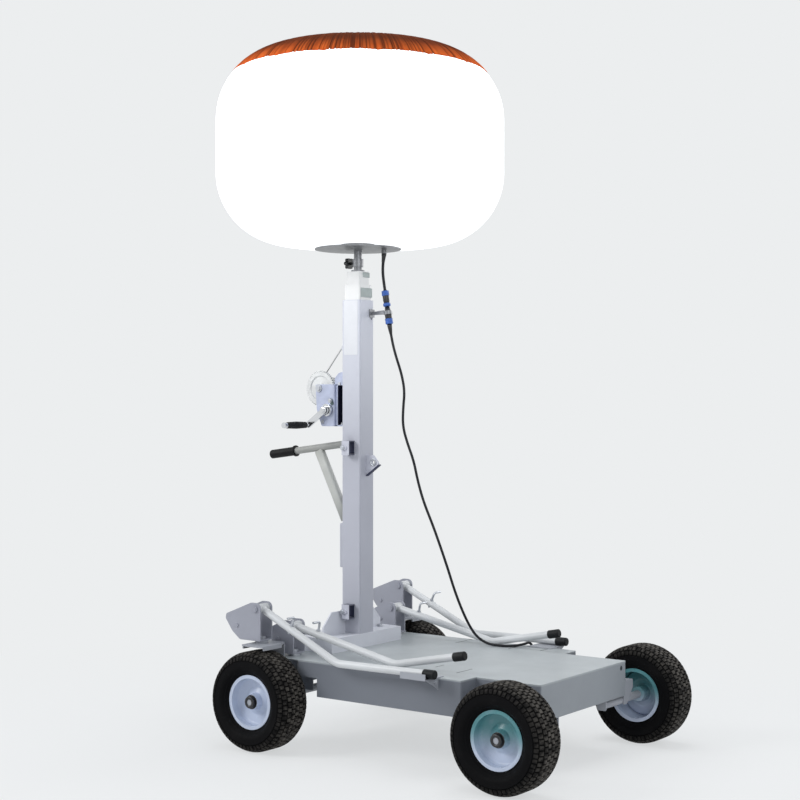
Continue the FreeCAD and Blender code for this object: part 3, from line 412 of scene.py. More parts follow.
def tyre_rubber(name):
    """Black tyre: dusty beige on the tops of the blocks, in patches, and a brownish bloom on the wall."""
    f = Finish(name, specular_ior_level=0.07)
    tread = f.carried("tread")
    grit = f.noise(60.0, 8.0).between(0.36, 0.66)
    wall = f.noise(14.0, 6.0).between(0.5, 0.75) * 0.25
    tone = f.mix(wall, (0.0025, 0.0025, 0.003), (0.012, 0.011, 0.011))
    tone = f.mix(tread * (grit * 0.70 + 0.10), tone, (0.125, 0.115, 0.102))
    return f.done(base_color=tone, roughness=f.noise(90.0, 4.0) * 0.2 + 0.55,
                  normal=f.bump(f.noise(700.0, 3.0), 0.0003, 0.5))


def plastic(name, colour, rough, spread=0.06):
    """Moulded plastic with a very fine spark-eroded texture."""
    f = Finish(name)
    tone = f.mix(f.noise(40.0, 3.0).between(0.35, 0.65), shade(colour, 1 - spread), shade(colour, 1 + spread))
    return f.done(base_color=tone, roughness=f.noise(120.0, 4.0) * 0.12 + (rough - 0.05),
                  normal=f.bump(f.noise(1400.0, 2.0), 0.00006, 0.5))


def chromed(name, colour):
    """Bright plating with faint handling marks."""
    f = Finish(name, metallic=1.0)
    tone = f.mix(f.noise(30.0, 4.0).between(0.35, 0.65), shade(colour, 0.92), colour)
    return f.done(base_color=tone, roughness=f.noise(90.0, 7.0) * 0.13 + 0.09)


def lamp_cloth(name):
    """White balloon cloth lit from inside: plain weave and an even glow, a touch greyer low down as painted
    shade.
    """
    f = Finish(name, emission_strength=1.15, roughness=0.62)
    weave = f.node("ShaderNodeTexWave", {"bands_direction": "Z"},
                   {"Vector": f.spot(), "Scale": 420.0, "Distortion": 0.6, "Detail": 1.0}, 1)
    # Painted shade: the glow is greyer in the lowest 10 cm.
    glow = f.mix(f.axes()[Z].between(1.70, 1.80), (0.93, 0.955, 0.975), (0.97, 0.985, 1.0))
    tone = f.mix(f.noise(3.0, 3.0).between(0.35, 0.65), (0.9, 0.915, 0.93), (0.95, 0.955, 0.96))
    return f.done(base_color=tone, emission_color=glow, normal=f.bump(weave, 0.00008, 0.25))


def crown_cloth(name):
    """Orange crown cloth gathered in folds, with painted shade: dark in the creases and over the crown above its
    hem band.
    """
    f = Finish(name, roughness=0.9, specular_ior_level=0.02, sheen_weight=0.03,
               sheen_tint=(1.0, 0.35, 0.13, 1))
    crease_and_shade = f.carried("crease_and_shade")
    rise = f.carried("rise")
    drift = f.noise(22.0, 5.0, (1, 1, 0.4)).between(0.3, 0.7)
    lit = f.mix(drift, (0.62, 0.105, 0.020), (0.80, 0.155, 0.030))
    # Painted shade in the creases.
    painted_crease_shade = f.mix(crease_and_shade * 0.95, lit, (0.060, 0.014, 0.006))
    # Painted shade: the cloth above the hem band is darkened to brown.
    whole = f.mix(rise.between(0.06, 0.32) * 0.92, painted_crease_shade, (0.060, 0.016, 0.008))
    return f.done(base_color=whole, normal=f.bump(f.noise(500.0, 2.0), 0.0002, 0.4))


def keeper_paint(name, colour):
    """Grey paint whose inner faces, between keeper and mast, are dark navy painted shade."""
    f = Finish(name, specular_ior_level=PAINT_SHINE)
    x, y = f.axes()[:2]
    # Painted shade: inner faces near the mast turn dark navy.
    inside = (1 - abs(y).between(0.0705, 0.0715)) * abs(x - (REAR_X + 0.076)).between(0.0, 0.001)
    tone = f.mix(f.noise(34.0, 6.0).between(0.5, 0.7) * 0.12, colour, shade(colour, 0.8))
    return f.done(base_color=f.mix(inside * 0.85, tone, (0.035, 0.04, 0.075)),
                  roughness=f.noise(18.0, 5.0) * 0.16 + 0.32,
                  normal=f.bump(f.noise(650.0, 2.0), 0.00012, 0.5))


FINISH = {
    # Mast paint grows paler upwards between 0.85 m and 1.4 m: painted light of the balloon's glow.
    "mast": paint("light grey mast paint", (0.465, 0.475, 0.535), 0.36, 0.03, 0.06,
                  (0.85, 1.4, (0.62, 0.635, 0.70))),
    "mast top": paint("near white mast paint", (0.80, 0.80, 0.79), 0.40, 0.02, 0.05),
    # The brace's paint is a paler copy of the handle's warm grey: painted light on its flat lit face.
    "brace": paint("warm grey handle paint with painted light", (0.48, 0.49, 0.465), 0.42, 0.04, 0.10),
    "ratchet": zinc("dark green zinc", (0.085, 0.125, 0.125), 0.36, (1.0, 1.0, 1.0), 0.5),
    # Dark grey steel on the chromed head pole is a painted reflection of dark surroundings; the cable hook and
    # its wire use it too.
    "pole": zinc("dark grey steel with painted dark reflection", (0.27, 0.275, 0.29), 0.30, (1.0, 1.0, 0.1), 0.5),
    # Front rims: teal above, and the paler silver-blue lower edge below about 0.11 m is a painted highlight.
    "front wheel": paint("teal wheel paint with painted lower highlight", (0.50, 0.56, 0.69), 0.26, 0.04, 0.10,
                         (0.11, 0.20, (0.09, 0.25, 0.27))),
    # The mast foot's paint is a paler copy of the mast's grey: painted light over the shade that falls on it.
    "foot": paint("mast paint with painted light for the foot", (0.68, 0.695, 0.75), 0.38, 0.03, 0.06),
    "deck": deck_paint("light grey deck paint", (0.375, 0.405, 0.42), 0.40),
    "frame": paint("light grey frame paint", (0.35, 0.365, 0.40), 0.40, 0.04),
    "bracket": paint("lilac grey bracket paint", (0.33, 0.34, 0.39), 0.38, 0.05),
    "keeper": keeper_paint("grey keeper paint", (0.56, 0.57, 0.64)),
    "keeper lug": paint("pale lug paint", (0.58, 0.59, 0.66), 0.36, 0.03, 0.06),
    "wheel": paint("silver blue wheel paint", (0.50, 0.56, 0.69), 0.26, 0.04),
    "leg": paint("dull zinc leg tube", (0.60, 0.615, 0.625), 0.34, 0.06, 0.16),
    "bar": paint("warm grey handle paint", (0.325, 0.33, 0.315), 0.42, 0.04, 0.12),
    "fitting": zinc("zinc plated fittings", (0.50, 0.52, 0.56), 0.33),
    "winch": zinc("blue zinc winch plate", (0.46, 0.50, 0.64), 0.34, (1.0, 1.0, 0.1), 0.45),
    "gear": zinc("pale cast gear", (0.66, 0.67, 0.67), 0.42, (1.0, 1.0, 1.0), 0.35),
    "dish": zinc("spun aluminium dish", (0.21, 0.213, 0.22), 0.38, (1.0, 1.0, 0.2), 0.6),
    "chrome": chromed("chromed steel", (0.74, 0.75, 0.77)),
    "rope": zinc("stranded steel rope", (0.5, 0.5, 0.5), 0.4, (1.0, 1.0, 1.0)),
    "tyre": tyre_rubber("turf tyre rubber"),
    "black rubber": rubber("black cap rubber", (0.011, 0.012, 0.013), 0.5, (0.04, 0.04, 0.04), 0.25),
    "grip": rubber("ribbed grip rubber", (0.006, 0.006, 0.007), 0.5, (0.02, 0.02, 0.02), 0.3, 420.0),
    "black plastic": plastic("black moulded plastic", (0.014, 0.014, 0.016), 0.34),
    "blue plastic": plastic("blue coupling plastic", (0.030, 0.11, 0.42), 0.30),
    "cable": rubber("black cable jacket", (0.018, 0.019, 0.022), 0.46, (0.045, 0.045, 0.047), 0.25, 700.0),
    "cloth": lamp_cloth("white balloon cloth"),
    "crown": crown_cloth("orange crown cloth"),
    "plate": plastic("bare white plate", (0.72, 0.73, 0.76), 0.3, 0.01),
    "band": plastic("grey green film", (0.33, 0.38, 0.37), 0.35),
    "slit": paint("dark seam", (0.06, 0.065, 0.07), 0.6, 0.1),
    # Painted shade: a dark navy for sheets put where openings and undersides are only in shade.
    "shade_sheet": paint("painted shade navy", (0.026, 0.031, 0.070), 0.55, 0.1),
}

NODE_FINISH = {
    "deck_pan": "deck", "front_axle": "frame", "rear_axle": "frame", "mast_base": "foot",
    "mast_outer": "mast", "mast_mid": "mast top", "mast_inner": "mast top", "mast_clips": "keeper",
    "hook_lug": "keeper lug", "cable_hook": "pole", "rope_pulley": "fitting", "handle_bar": "bar",
    "handle_brace": "bar", "handle_grip": "grip", "winch_frame": "winch", "winch_drum": "gear",
    "winch_crank": "chrome", "crank_grip": "black rubber", "winch_rope": "rope", "head_pole": "pole",
    "head_knob": "black plastic", "lamp_dish": "dish", "cable_plug": "black plastic",
    "coupling_upper": "black plastic", "coupling_lower": "black plastic",
}
NODE_STARTS = (("leg_tube", "leg"), ("leg_foot", "black rubber"), ("leg_pin", "fitting"),
               ("leg_bracket", "bracket"), ("leg_shelf", "frame"), ("swivel_post", "fitting"),
               ("leg_cradle", "frame"), ("rim_rear", "wheel"), ("rim_front", "front wheel"))
for node_name, node in NODES.items():
    key = NODE_FINISH.get(node_name)
    for start, finish_name in NODE_STARTS:
        if node_name.startswith(start):
            key = finish_name
    if key:
        node.data.materials.clear()
        node.data.materials.append(FINISH[key])


# Tyres and hubs

TYRE_R = 0.165
TYRE_SEAT = 0.0815
TREAD_ROWS = 9
TREAD_BLOCKS = 60
TREAD_DEEP = 0.005
TREAD_HALF = 0.083
WALL_ROWS = 20
TREAD_SHIFT = 0.004
WALL_RING = 0.024
RING_HIGH = 0.0009
RING_WIDE = 0.0016
BLACK = ("black plastic", "black_plastic")
BLUE = ("blue plastic", "blue_plastic")
WHEEL_Y = 434
WHEEL_X = {"front": 960, "rear": 0}
SEAL = rounded(((0.0380, 0.0163), (0.0398, 0.0163), (0.0398, 0.0236), (0.0380, 0.0236)), (0.0005, 0.0008), 4)
AXLE_COLLAR = np.array(((0.0403, 0.0155), (0.0403, 0.0195), (0.0494, 0.0195), (0.0507, 0.0182),
                        (0.0507, 0.0105), (0.0490, 0.0100), (0.0490, 0.0155)))


def tyre_profile():
    """Section from one bead over the crown to the other bead, as (across, radius)."""
    low = TYRE_SEAT + 0.009
    wall = TYRE_SEAT + 0.030
    corners = ((-0.053, TYRE_SEAT), (-0.053, low), (-0.068, wall), (-0.068, 0.1500), (-0.040, TYRE_R),
               (0.040, TYRE_R), (0.068, 0.1500), (0.068, wall), (0.045, low), (0.045, TYRE_SEAT))
    return rounded(corners, (0.004, 0.020, 0.020, 0.036, 0.036, 0.020, 0.020, 0.004), 10)


def length_along(line):
    """How far along a polyline each of its points lies."""
    return np.concatenate([[0], np.cumsum(np.linalg.norm(np.diff(line, axis=0), axis=1))])


def carry(piece, name, values):
    """Numbers at a mesh's points, for its finish to read."""
    layer = piece.data.attributes.new(name, "FLOAT", "POINT")
    layer.data.foreach_set("value", values.ravel())


def wheel_trim(end, side):
    """A turf tyre, the bearing's seal, and the axle's black collar, which stays still.

    The tyre is a turned carcass whose crown carries rows of blocks, every other row shifted round by half
    a block. Across a row and round the tyre the height changes between points that lie close together, so
    groove walls are steep and block tops flat. Each sidewall carries one fine raised ring. The tread
    attribute is 1 on the block tops of the middle rows and less towards the shoulders.
    """
    body = "wheel_%s_%s" % (end, side)
    way = 1.0 if side == "left" else -1.0
    centre = place((WHEEL_X[end], way * WHEEL_Y, TYRE_R * 1000))
    profile = tyre_profile()
    along = length_along(profile)

    def section(spot):
        return np.stack([np.interp(spot, along, profile[:, 0]), np.interp(spot, along, profile[:, 1])], -1)

    mid = along[-1] * 0.5 - TREAD_SHIFT
    cell = 2 * TREAD_HALF / TREAD_ROWS
    inside = np.array([0.04, 0.12, 0.5, 0.88, 0.96])
    tread = (mid - TREAD_HALF + cell * (np.arange(TREAD_ROWS)[:, None] + inside)).ravel()
    plain = np.zeros(WALL_ROWS)
    where = np.concatenate([np.linspace(0, mid - TREAD_HALF - 0.002, WALL_ROWS), tread,
                            np.linspace(mid + TREAD_HALF + 0.002, along[-1], WALL_ROWS)])
    rise = np.concatenate([plain, np.tile([0.0, 1.0, 1.0, 1.0, 0.0], TREAD_ROWS), plain])
    zone = np.concatenate([plain, np.ones(tread.size), plain])
    shift = np.repeat(np.arange(TREAD_ROWS) % 2 * 0.5, inside.size)
    shift = np.concatenate([plain, shift, plain + shift[-1]])
    ahead = section(where + 0.002) - section(where - 0.002)
    ahead /= np.linalg.norm(ahead, axis=1)[:, None] + 1e-12
    inward = np.stack([ahead[:, 1], -ahead[:, 0]], -1)
    steps = np.array([0.0, 0.10, 0.20, 0.86, 0.96])
    top = rise[:, None] * np.tile([0.0, 0.0, 1.0, 1.0, 0.0], TREAD_BLOCKS)[None, :]
    turn = (np.arange(TREAD_BLOCKS)[:, None] + steps).ravel()[None, :] + shift[:, None]
    angle = turn / TREAD_BLOCKS * TAU
    depth = TREAD_DEEP * (1 - np.abs(where - mid) / TREAD_HALF * 0.35)
    sink = (zone * depth)[:, None] * (1 - top)
    for ring in (WALL_RING, along[-1] - WALL_RING):
        sink = sink - RING_HIGH * np.exp(-((where - ring) / RING_WIDE) ** 2)[:, None]
    line = section(where)
    a = line[:, :1] + inward[:, :1] * sink
    r = line[:, 1:] + inward[:, 1:] * sink
    verts = centre + np.stack([r * np.cos(angle), way * a, r * np.sin(angle)], -1)
    faces = grid_faces(*angle.shape, wrap_rows=True)
    piece = new_mesh("turf_tyre_%s_%s" % (end, side), verts, faces, body, "tyre", smooth=False)
    # Lighter block tops fade from the middle rows towards the shoulders.
    row_fade = np.clip(1.25 - np.abs(where - mid) / TREAD_HALF * 1.15, 0.10, 1)
    carry(piece, "tread", top * (zone * row_fade)[:, None])
    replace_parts(piece, "tyre_%s_%s" % (end, side))
    for label, ring, bearer in (("bearing_seal", SEAL, body), ("axle_collar", AXLE_COLLAR, "chassis")):
        ring_piece("%s_%s_%s" % (label, end, side), ring * [way, 1], centre, (0, 1, 0), bearer, *BLACK, 64)


for end in WHEEL_X:
    for side in ("right", "left"):
        wheel_trim(end, side)


# Balloon

BALLOON_X = 86
BALLOON_R = 0.503
BALLOON_LOW = 1.704
BALLOON_HIGH = 2.376
SHOULDER = 0.246
SEAM_Z = 2.290
GORES = 16
GORE_DEEP = 0.003
GATHER = -0.95
CREASE_DEEP = 0.0021
HEM_WAVE = 0.005
HEM_STRAND = 0.008
BALLOON_MIDDLE = place((BALLOON_X, 0, 0))


def balloon_profile(count):
    """Evenly spaced (radius, height) points from the bottom middle to the top middle."""
    line = rounded(((0.062, BALLOON_LOW), (BALLOON_R, BALLOON_LOW), (BALLOON_R, BALLOON_HIGH),
                    (0.0, BALLOON_HIGH + 0.004)), (SHOULDER, SHOULDER), 60)
    along = length_along(line)
    t = np.linspace(0, along[-1], count)
    return np.stack([np.interp(t, along, line[:, 0]), np.interp(t, along, line[:, 1])], -1)


def seam_radius():
    """The profile's radius at the height of the crown's hem."""
    line = balloon_profile(400)
    upper = line[line[:, 1] > (BALLOON_LOW + BALLOON_HIGH) / 2]
    return float(np.interp(SEAM_Z, upper[:, 1], upper[:, 0]))


SEAM_R = seam_radius()
CLOTH_POLE = 0.0005


def balloon_skin():
    """White cloth: the profile turned about the mast, drawn in a little at each gore seam.

    A seam is narrow and sharp: its share of full depth is 1 less the 0.35th power of a sine's size.
    """
    line = balloon_profile(140)
    line = np.vstack([[CLOTH_POLE, BALLOON_LOW + 0.0005], line[line[:, 1] <= SEAM_Z], [SEAM_R, SEAM_Z],
                      [SEAM_R * 0.97, SEAM_Z - 0.004], [CLOTH_POLE, SEAM_Z - 0.004]])
    t = np.linspace(0, TAU, 320, endpoint=False)
    seam = np.abs(np.sin(t * GORES / 2)) ** 0.35
    r = line[:, :1] - GORE_DEEP * (1 - seam) * np.clip(line[:, :1] / BALLOON_R, 0, 1)
    r = np.maximum(r, 0.0003)
    z = np.repeat(line[:, 1:], t.size, 1)
    verts = BALLOON_MIDDLE + np.stack([r * np.cos(t), r * np.sin(t), z], -1)
    piece = new_mesh("balloon_skin", verts, grid_faces(*r.shape, wrap_rows=True), "mast_inner", "cloth")
    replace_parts(piece, "balloon")


def crown_piece():
    """Orange crown: the top of the profile gathered into uneven radial folds with a ragged hem.

    The crease depth at an angle is the sum of three cosine waves and of narrow bell-shaped creases at seeded
    places, closer together round the angle GATHER. Cloth between the creases stands proud, and the hem
    dips in short uneven waves with seeded strands five steps wide. The attribute for creases is 1 in a crease,
    fading inwards, and the finish paints shade with it; rise goes from 0 at the hem to 1 at the middle, and the
    finish paints the cloth above the hem band darker with it as painted shade.
    """
    rng = np.random.default_rng(7)
    line = balloon_profile(300)
    line = line[line[:, 1] >= SEAM_Z]
    line = line[np.unique(np.linspace(0, len(line) - 1, 44).astype(int))]
    line = np.vstack([[SEAM_R - 0.002, SEAM_Z - 0.012], [SEAM_R + 0.001, SEAM_Z - 0.012],
                      [SEAM_R + 0.001, SEAM_Z], line])
    t = np.linspace(0, TAU, 1200, endpoint=False)
    waves = np.zeros_like(t)
    for count, share in ((46, 0.45), (71, 0.35), (117, 0.2)):
        waves += share * np.cos(count * t + rng.uniform(0, TAU) + 0.8 * np.sin(3 * t + rng.uniform(0, TAU)))
    spots = np.concatenate([rng.uniform(0, TAU, 80), rng.normal(GATHER, 0.42, 60)])
    widths = rng.uniform(0.003, 0.009, spots.size)
    gap = np.abs((t[:, None] - spots + math.pi) % TAU - math.pi)
    crease = (np.exp(-(gap / widths) ** 2) * rng.uniform(0.4, 1.0, spots.size)).max(1)
    crease_and_shade = np.clip(np.clip(0.18 - waves * 0.5, 0, 1) ** 2 + crease, 0, 1)
    share = np.linspace(0, 1, len(line))[:, None]
    swell = CREASE_DEEP * (1 - crease_and_shade)[None, :] * (1 - share) ** 0.5 * np.clip(share * 10 + 0.3, 0, 1)
    dips = HEM_WAVE * np.abs(np.sin(19 * t + 2 * np.sin(5 * t)) * np.sin(7 * t + 1))
    strand = np.repeat(rng.uniform(0, 1, t.size // 5), 5)
    hem = (dips + HEM_STRAND * strand) * np.exp(-share * 26)
    r = np.maximum(line[:, :1] + swell, CLOTH_POLE)
    r[0] -= 0.004
    r = np.vstack([np.full((1, t.size), CLOTH_POLE), r])
    z = np.vstack([np.full((1, t.size), SEAM_Z - 0.013), line[:, 1:] + swell - hem])
    verts = BALLOON_MIDDLE + np.stack([r * np.cos(t), r * np.sin(t), z], -1)
    piece = new_mesh("balloon_crown", verts, grid_faces(*r.shape, wrap_rows=True), "mast_inner", "crown")
    share = np.vstack([share[:1], share])
    carry(piece, "crease_and_shade", crease_and_shade[None, :] * np.clip(1.15 - share, 0, 1))
    carry(piece, "rise", np.repeat(share ** 0.8, t.size, 1))
    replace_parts(piece, "balloon_cap")


balloon_skin()
crown_piece()


# Cables and coupling

UPPER_LEAD = ((172, 25, 1669), (168, 25, 1640), (166, 25, 1608), (170, 25, 1573), (176, 25, 1541))
LOWER_CABLE = (
    (196, 25, 1419), (206, 25, 1365), (224, 25, 1308), (246, 26, 1252), (259, 28, 1190),
    (250, 31, 1130), (246, 34, 1068), (262, 39, 1010), (284, 46, 950), (294, 56, 880),
    (312, 65, 808), (342, 78, 728), (366, 92, 650), (381, 114, 575), (387, 142, 505),
    (394, 174, 438), (403, 205, 380), (420, 231, 332), (456, 250, 306), (505, 262, 303),
    (545, 285, 303), (562, 322, 307), (566, 354, 311), (567, 372, 283), (566, 374, 225),
    (562, 375, 150), (552, 376, 78), (525, 379, 24), (478, 385, 5), (428, 399, 5),
    (378, 411, 5),
)
COIL_CENTRE = (330.0, 478.0)
COIL_LAYERS = ((50, 6), (41, 8), (59, 12), (50, 17), (42, 21), (57, 24), (50, 25))
COIL_START = math.radians(-108)
TURN_POINTS = 12
EXTRA_POINTS = 10
STEP_FROM = 0.6
PLUG_LEAD = ((330, 515, 25), (330, 532, 24), (330, 541, 24))


def coil_points():
    """Turns of a neat coil. From STEP_FROM of a turn on, it moves to the next layer's radius and height."""
    points = []
    last = len(COIL_LAYERS) - 1
    for i in range(TURN_POINTS * len(COIL_LAYERS) + EXTRA_POINTS):
        turn = i / TURN_POINTS
        k = min(int(turn), last)
        blend = max(0.0, (turn - int(turn) - STEP_FROM) / (1 - STEP_FROM))
        here, ahead = COIL_LAYERS[k], COIL_LAYERS[min(k + 1, last)]
        radius, height = (a * (1 - blend) + b * blend for a, b in zip(here, ahead))
        angle = COIL_START - TAU * turn
        points.append((COIL_CENTRE[0] + radius * math.cos(angle),
                       COIL_CENTRE[1] + radius * math.sin(angle), height))
    return points


def cord_piece(name, points, radius, body):
    """A round cord along a smooth spline through the route's control points, given in millimetres."""
    curve = bpy.data.curves.new(name, "CURVE")
    curve.dimensions = "3D"
    curve.bevel_depth = radius
    curve.bevel_resolution = 5
    curve.resolution_u = 8
    curve.use_fill_caps = True
    spline = curve.splines.new("NURBS")
    spline.points.add(len(points) - 1)
    placed = place(points)
    spline.points.foreach_set("co", np.column_stack([placed, np.ones(len(placed))]).ravel())
    spline.order_u = 3
    spline.use_endpoint_u = True
    piece = bpy.data.objects.new(name, curve)
    bpy.context.scene.collection.objects.link(piece)
    curve.materials.append(FINISH["cable"])
    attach(piece, body)
    return piece


COUPLING_TOP = place(UPPER_LEAD[-1])
COUPLING_END = place(LOWER_CABLE[0])
COUPLING_WAY = (COUPLING_END - COUPLING_TOP) / np.linalg.norm(COUPLING_END - COUPLING_TOP)


def collar(name, start, end, radius, body, material, ribs=0, ends=0.0015):
    """Part of the cable coupling: a turned sleeve in mm along its axis, its radius rippled into ribs."""
    along = np.linspace(start, end, max(4, ribs * 8)) / 1000
    share = np.linspace(0, 1, along.size)
    r = radius / 1000 + 0.0005 * np.sin(share * TAU * ribs) * (ribs > 0)
    r[0] -= ends
    r[-1] -= ends
    profile = np.concatenate([[[along[0], POLE]], np.stack([along, r], -1), [[along[-1], POLE]]])
    return ring_piece(name, profile, COUPLING_TOP, COUPLING_WAY, body, *material, 48)


def relief(name, profile, centre, way, body):
    """A short black sleeve where a cord leaves a piece."""
    ring_piece(name, profile, place(centre), way, body, *BLACK, 40)


upper_half = collar("coupling_upper_shell", 0, 57, 11.2, "mast_inner", BLACK, 0, 0.004)
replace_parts(upper_half, "coupling_upper")
upper_bands = [collar("coupling_top_nut", 3, 20, 12.8, "mast_inner", BLUE, 4),
               collar("coupling_upper_ring", 46, 57.6, 13.2, "mast_inner", BLUE)]
lower_half = collar("coupling_lower_shell", 58.2, 123, 11.8, "chassis", BLACK, 0, 0.004)
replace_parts(lower_half, "coupling_lower")
collar("coupling_lower_nut", 101, 120, 13.2, "chassis", BLUE, 4)
relief("lamp_lead_relief", ((-0.002, POLE), (-0.002, 0.0085), (0.006, 0.0085), (0.009, 0.0074), (0.030, 0.0056),
                            (0.031, POLE)), (172, 25, 1668), (-4, 0, -29), "mast_inner")
relief("supply_cable_relief", ((-0.002, POLE), (-0.002, 0.0085), (0.005, 0.0082), (0.032, 0.0050),
                               (0.033, POLE)), LOWER_CABLE[0], (10, 0, -54), "chassis")

lead = cord_piece("lamp_lead", UPPER_LEAD, 0.005, "mast_inner")
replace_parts(lead, "upper_lead")

route = list(LOWER_CABLE) + coil_points() + list(PLUG_LEAD)
supply = cord_piece("supply_cable", route, 0.0045, "chassis")
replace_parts(supply, "lower_cable", "cable_coil")


# Winch

SHAFT = (-70.0, 0.0, 1200.0)
PINION = (-30.1, 0.0, 1123.03)
GEAR_TEETH = 48
GEAR_ROOT = 0.05827
GEAR_TIP = 0.06324
WINCH_LOW = 1066
WINCH_HIGH = 1214
WEB_X = -4
SHEET = 4
SIDE_HALF = 37
CHANNEL_HALF = 30
CHANNEL_DEEP = 32
LIP = 9
NEAR = (0, -1, 0)
FAR = (0, 1, 0)


def winch_plates():
    """Two side plates on a web that stands off the mast on a channel, and a rope guard above it.

    The channel's near wall is cut back to a lip beside the web.
    """
    side = loop(((WEB_X, WINCH_LOW), (WEB_X, WINCH_HIGH), (-86, WINCH_HIGH), (-80, 1124), (-58, WINCH_LOW)), 7)
    guard = loop(((WEB_X, 1213), (36, 1213), (36, 1258), (14, 1254), (WEB_X, 1236)), 4)
    web = rect(WEB_X, WEB_X + SHEET, WINCH_LOW, WINCH_HIGH)
    floor = rect(0, CHANNEL_DEEP, WINCH_LOW, WINCH_LOW + SHEET)
    roof = rect(0, CHANNEL_DEEP, WINCH_HIGH - SHEET, WINCH_HIGH)
    far_wall = rect(0, CHANNEL_DEEP, WINCH_LOW, WINCH_HIGH)
    parts = [slab(side, Y, -SIDE_HALF, SHEET), slab(side, Y, SIDE_HALF - SHEET, SHEET),
             slab(web, Y, -SIDE_HALF, 2 * SIDE_HALF),
             slab(loop(rect(-30, 30, 1065, 1262), 10), X, CHANNEL_DEEP, SHEET),
             slab(floor, Y, -CHANNEL_HALF, 2 * CHANNEL_HALF), slab(roof, Y, -CHANNEL_HALF, 2 * CHANNEL_HALF),
             slab(far_wall, Y, CHANNEL_HALF - SHEET, SHEET),
             slab(guard, Y, -CHANNEL_HALF, SHEET), slab(guard, Y, CHANNEL_HALF - SHEET, SHEET),
             slab(rect(0, LIP, WINCH_LOW, WINCH_HIGH), Y, -CHANNEL_HALF, SHEET)]
    return plates("winch_side_plates", parts, "chassis", "winch")


def winch_shade_sheets():
    """Dark sheets of painted shade inside the channel: its far wall, its back and the web's own back."""
    low = WINCH_LOW + SHEET
    high = WINCH_HIGH - SHEET
    back = rect(-29.6, 25, low + 0.4, high - 0.4)
    # Painted shade: dark sheets inside the channel.
    plates("winch_channel_shade_sheets", [slab(rect(0.2, 31.8, low, high), Y, 25, 0.8), slab(back, X, 31, 0.8),
                                    slab(back, X, 0.2, 0.8)], "chassis", "shade_sheet", 0)


def gear_wheel():
    """Cast gear with its drum: a closed section turned about the shaft, toothed where it is the rim.

    Each row is a place along the shaft in mm, a plain radius in mm and a share of full tooth height; a
    row with a share is toothed. A tooth's radius goes from root to tip between 0.30 and 0.13 of a pitch
    from its middle, and the near face is sunk 3.5 mm between hub and rim.
    """
    shares = np.array([-0.30, -0.13, 0.13, 0.30, 0.5])
    tooth = np.tile([0.0, 1.0, 1.0, 0.0, 0.0], GEAR_TEETH)
    t = ((np.arange(GEAR_TEETH)[:, None] + shares) / GEAR_TEETH * TAU).ravel()
    rows = np.array((
        (-34.0, 0.1, 0), (-34.0, 9.0, 0), (-31.2, 9.8, 0), (-31.0, 17.0, 0), (-27.8, 19.0, 0),
        (-27.5, 42.0, 0), (-30.4, 44.0, 0), (-31.0, 45.0, 0), (-31.0, 57.0, 0), (-31.0, 0.0, 0.94),
        (-30.2, 0.0, 1), (-23.8, 0.0, 1), (-23.0, 0.0, 0.94), (-23.0, 57.0, 0), (-23.0, 30.6, 0),
        (-22.4, 30.0, 0), (26.5, 30.0, 0), (27.0, 30.5, 0), (27.0, 41.0, 0), (28.0, 42.0, 0),
        (30.0, 42.0, 0), (31.0, 41.0, 0), (31.0, 12.0, 0), (31.0, 0.1, 0)))
    y, plain, edge = rows[:, :1] / 1000, rows[:, 1:2] / 1000, rows[:, 2:]
    rim = GEAR_ROOT + (GEAR_TIP - GEAR_ROOT) * tooth[None, :] * edge
    r = np.where(edge > 0, rim, plain)
    verts = place(SHAFT) + np.stack([r * np.cos(t), y + 0 * r, r * np.sin(t)], -1)
    piece = new_mesh("winch_gear_and_drum", verts, grid_faces(*r.shape, wrap_rows=True), "winch_drum",
                     "gear", smooth=False)
    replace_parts(piece, "winch_drum")


def ratchet():
    """A saw-toothed wheel on the pinion's shaft, its pawl on the side plate, and their bolts."""
    teeth = 15
    spots = [(TAU * (i / teeth + lead_in), radius) for i in range(teeth)
             for lead_in, radius in ((0.0, 21.0), (0.012, 16.5))]
    ring = [(PINION[0] + r * math.cos(a), PINION[2] + r * math.sin(a)) for a, r in spots]
    plates("ratchet_wheel", [slab(ring, Y, -42.5, SHEET)], "winch_crank", "ratchet", 0.0004)
    pawl = loop(((-13, 1140), (-3, 1143), (-8, 1160), (-16, 1166), (-24, 1160), (-18, 1150)), 2.5)
    plates("ratchet_pawl", [slab(pawl, Y, -42, SHEET), slab(rect(-9, -5, 1146, 1150), Y, -41, SHEET)],
           "chassis", "ratchet")
    bolts("ratchet_bolts", [((-15, -42.2, 1156), NEAR, 5.5, 5), ((-52, -37.2, 1082), NEAR, 4.5, 4),
                            ((18, -30.2, 1216), NEAR, 4, 3), ((16, -12, 1071), (0, 0, 1), 6, 8)], "chassis")


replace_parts(winch_plates(), "winch_frame")
gear_wheel()
winch_shade_sheets()
bolts("winch_shaft_nut", [((-70, -37.2, 1200), NEAR, 9.5, 7), ((-70, 37.2, 1200), FAR, 9.5, 7)], "winch_drum")
ratchet()
bolts("crank_nut", [((PINION[0], -62.2, PINION[2]), NEAR, 9, 8)], "winch_crank", "chrome")


# Push handle's brace

def brace_piece():
    """Flat tube, 36 by 24 with rounded edges, from under the handle down to a pad on the mast."""
    path = ((-97.5, 0, 978), (-60, 0, 903.4), (-20, 0, 823.8), (23, 0, 738.2))
    tube = sweep("brace_tube", path, loop(rect(-18, 18, -12, 12), 8), (0, 1, 0), "chassis", "brace", "leg_zinc")
    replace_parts(tube, "handle_brace")
    plates("brace_pad", [slab(loop(rect(-30, 30, 571, 726), 4), X, 19, 17)], "chassis", "mast",
           0.0015)


brace_piece()


# Small fittings

STUB_INNER = 152
DECK_TOP = 298
KEEPERS = (("lower", 423), ("upper", 992))


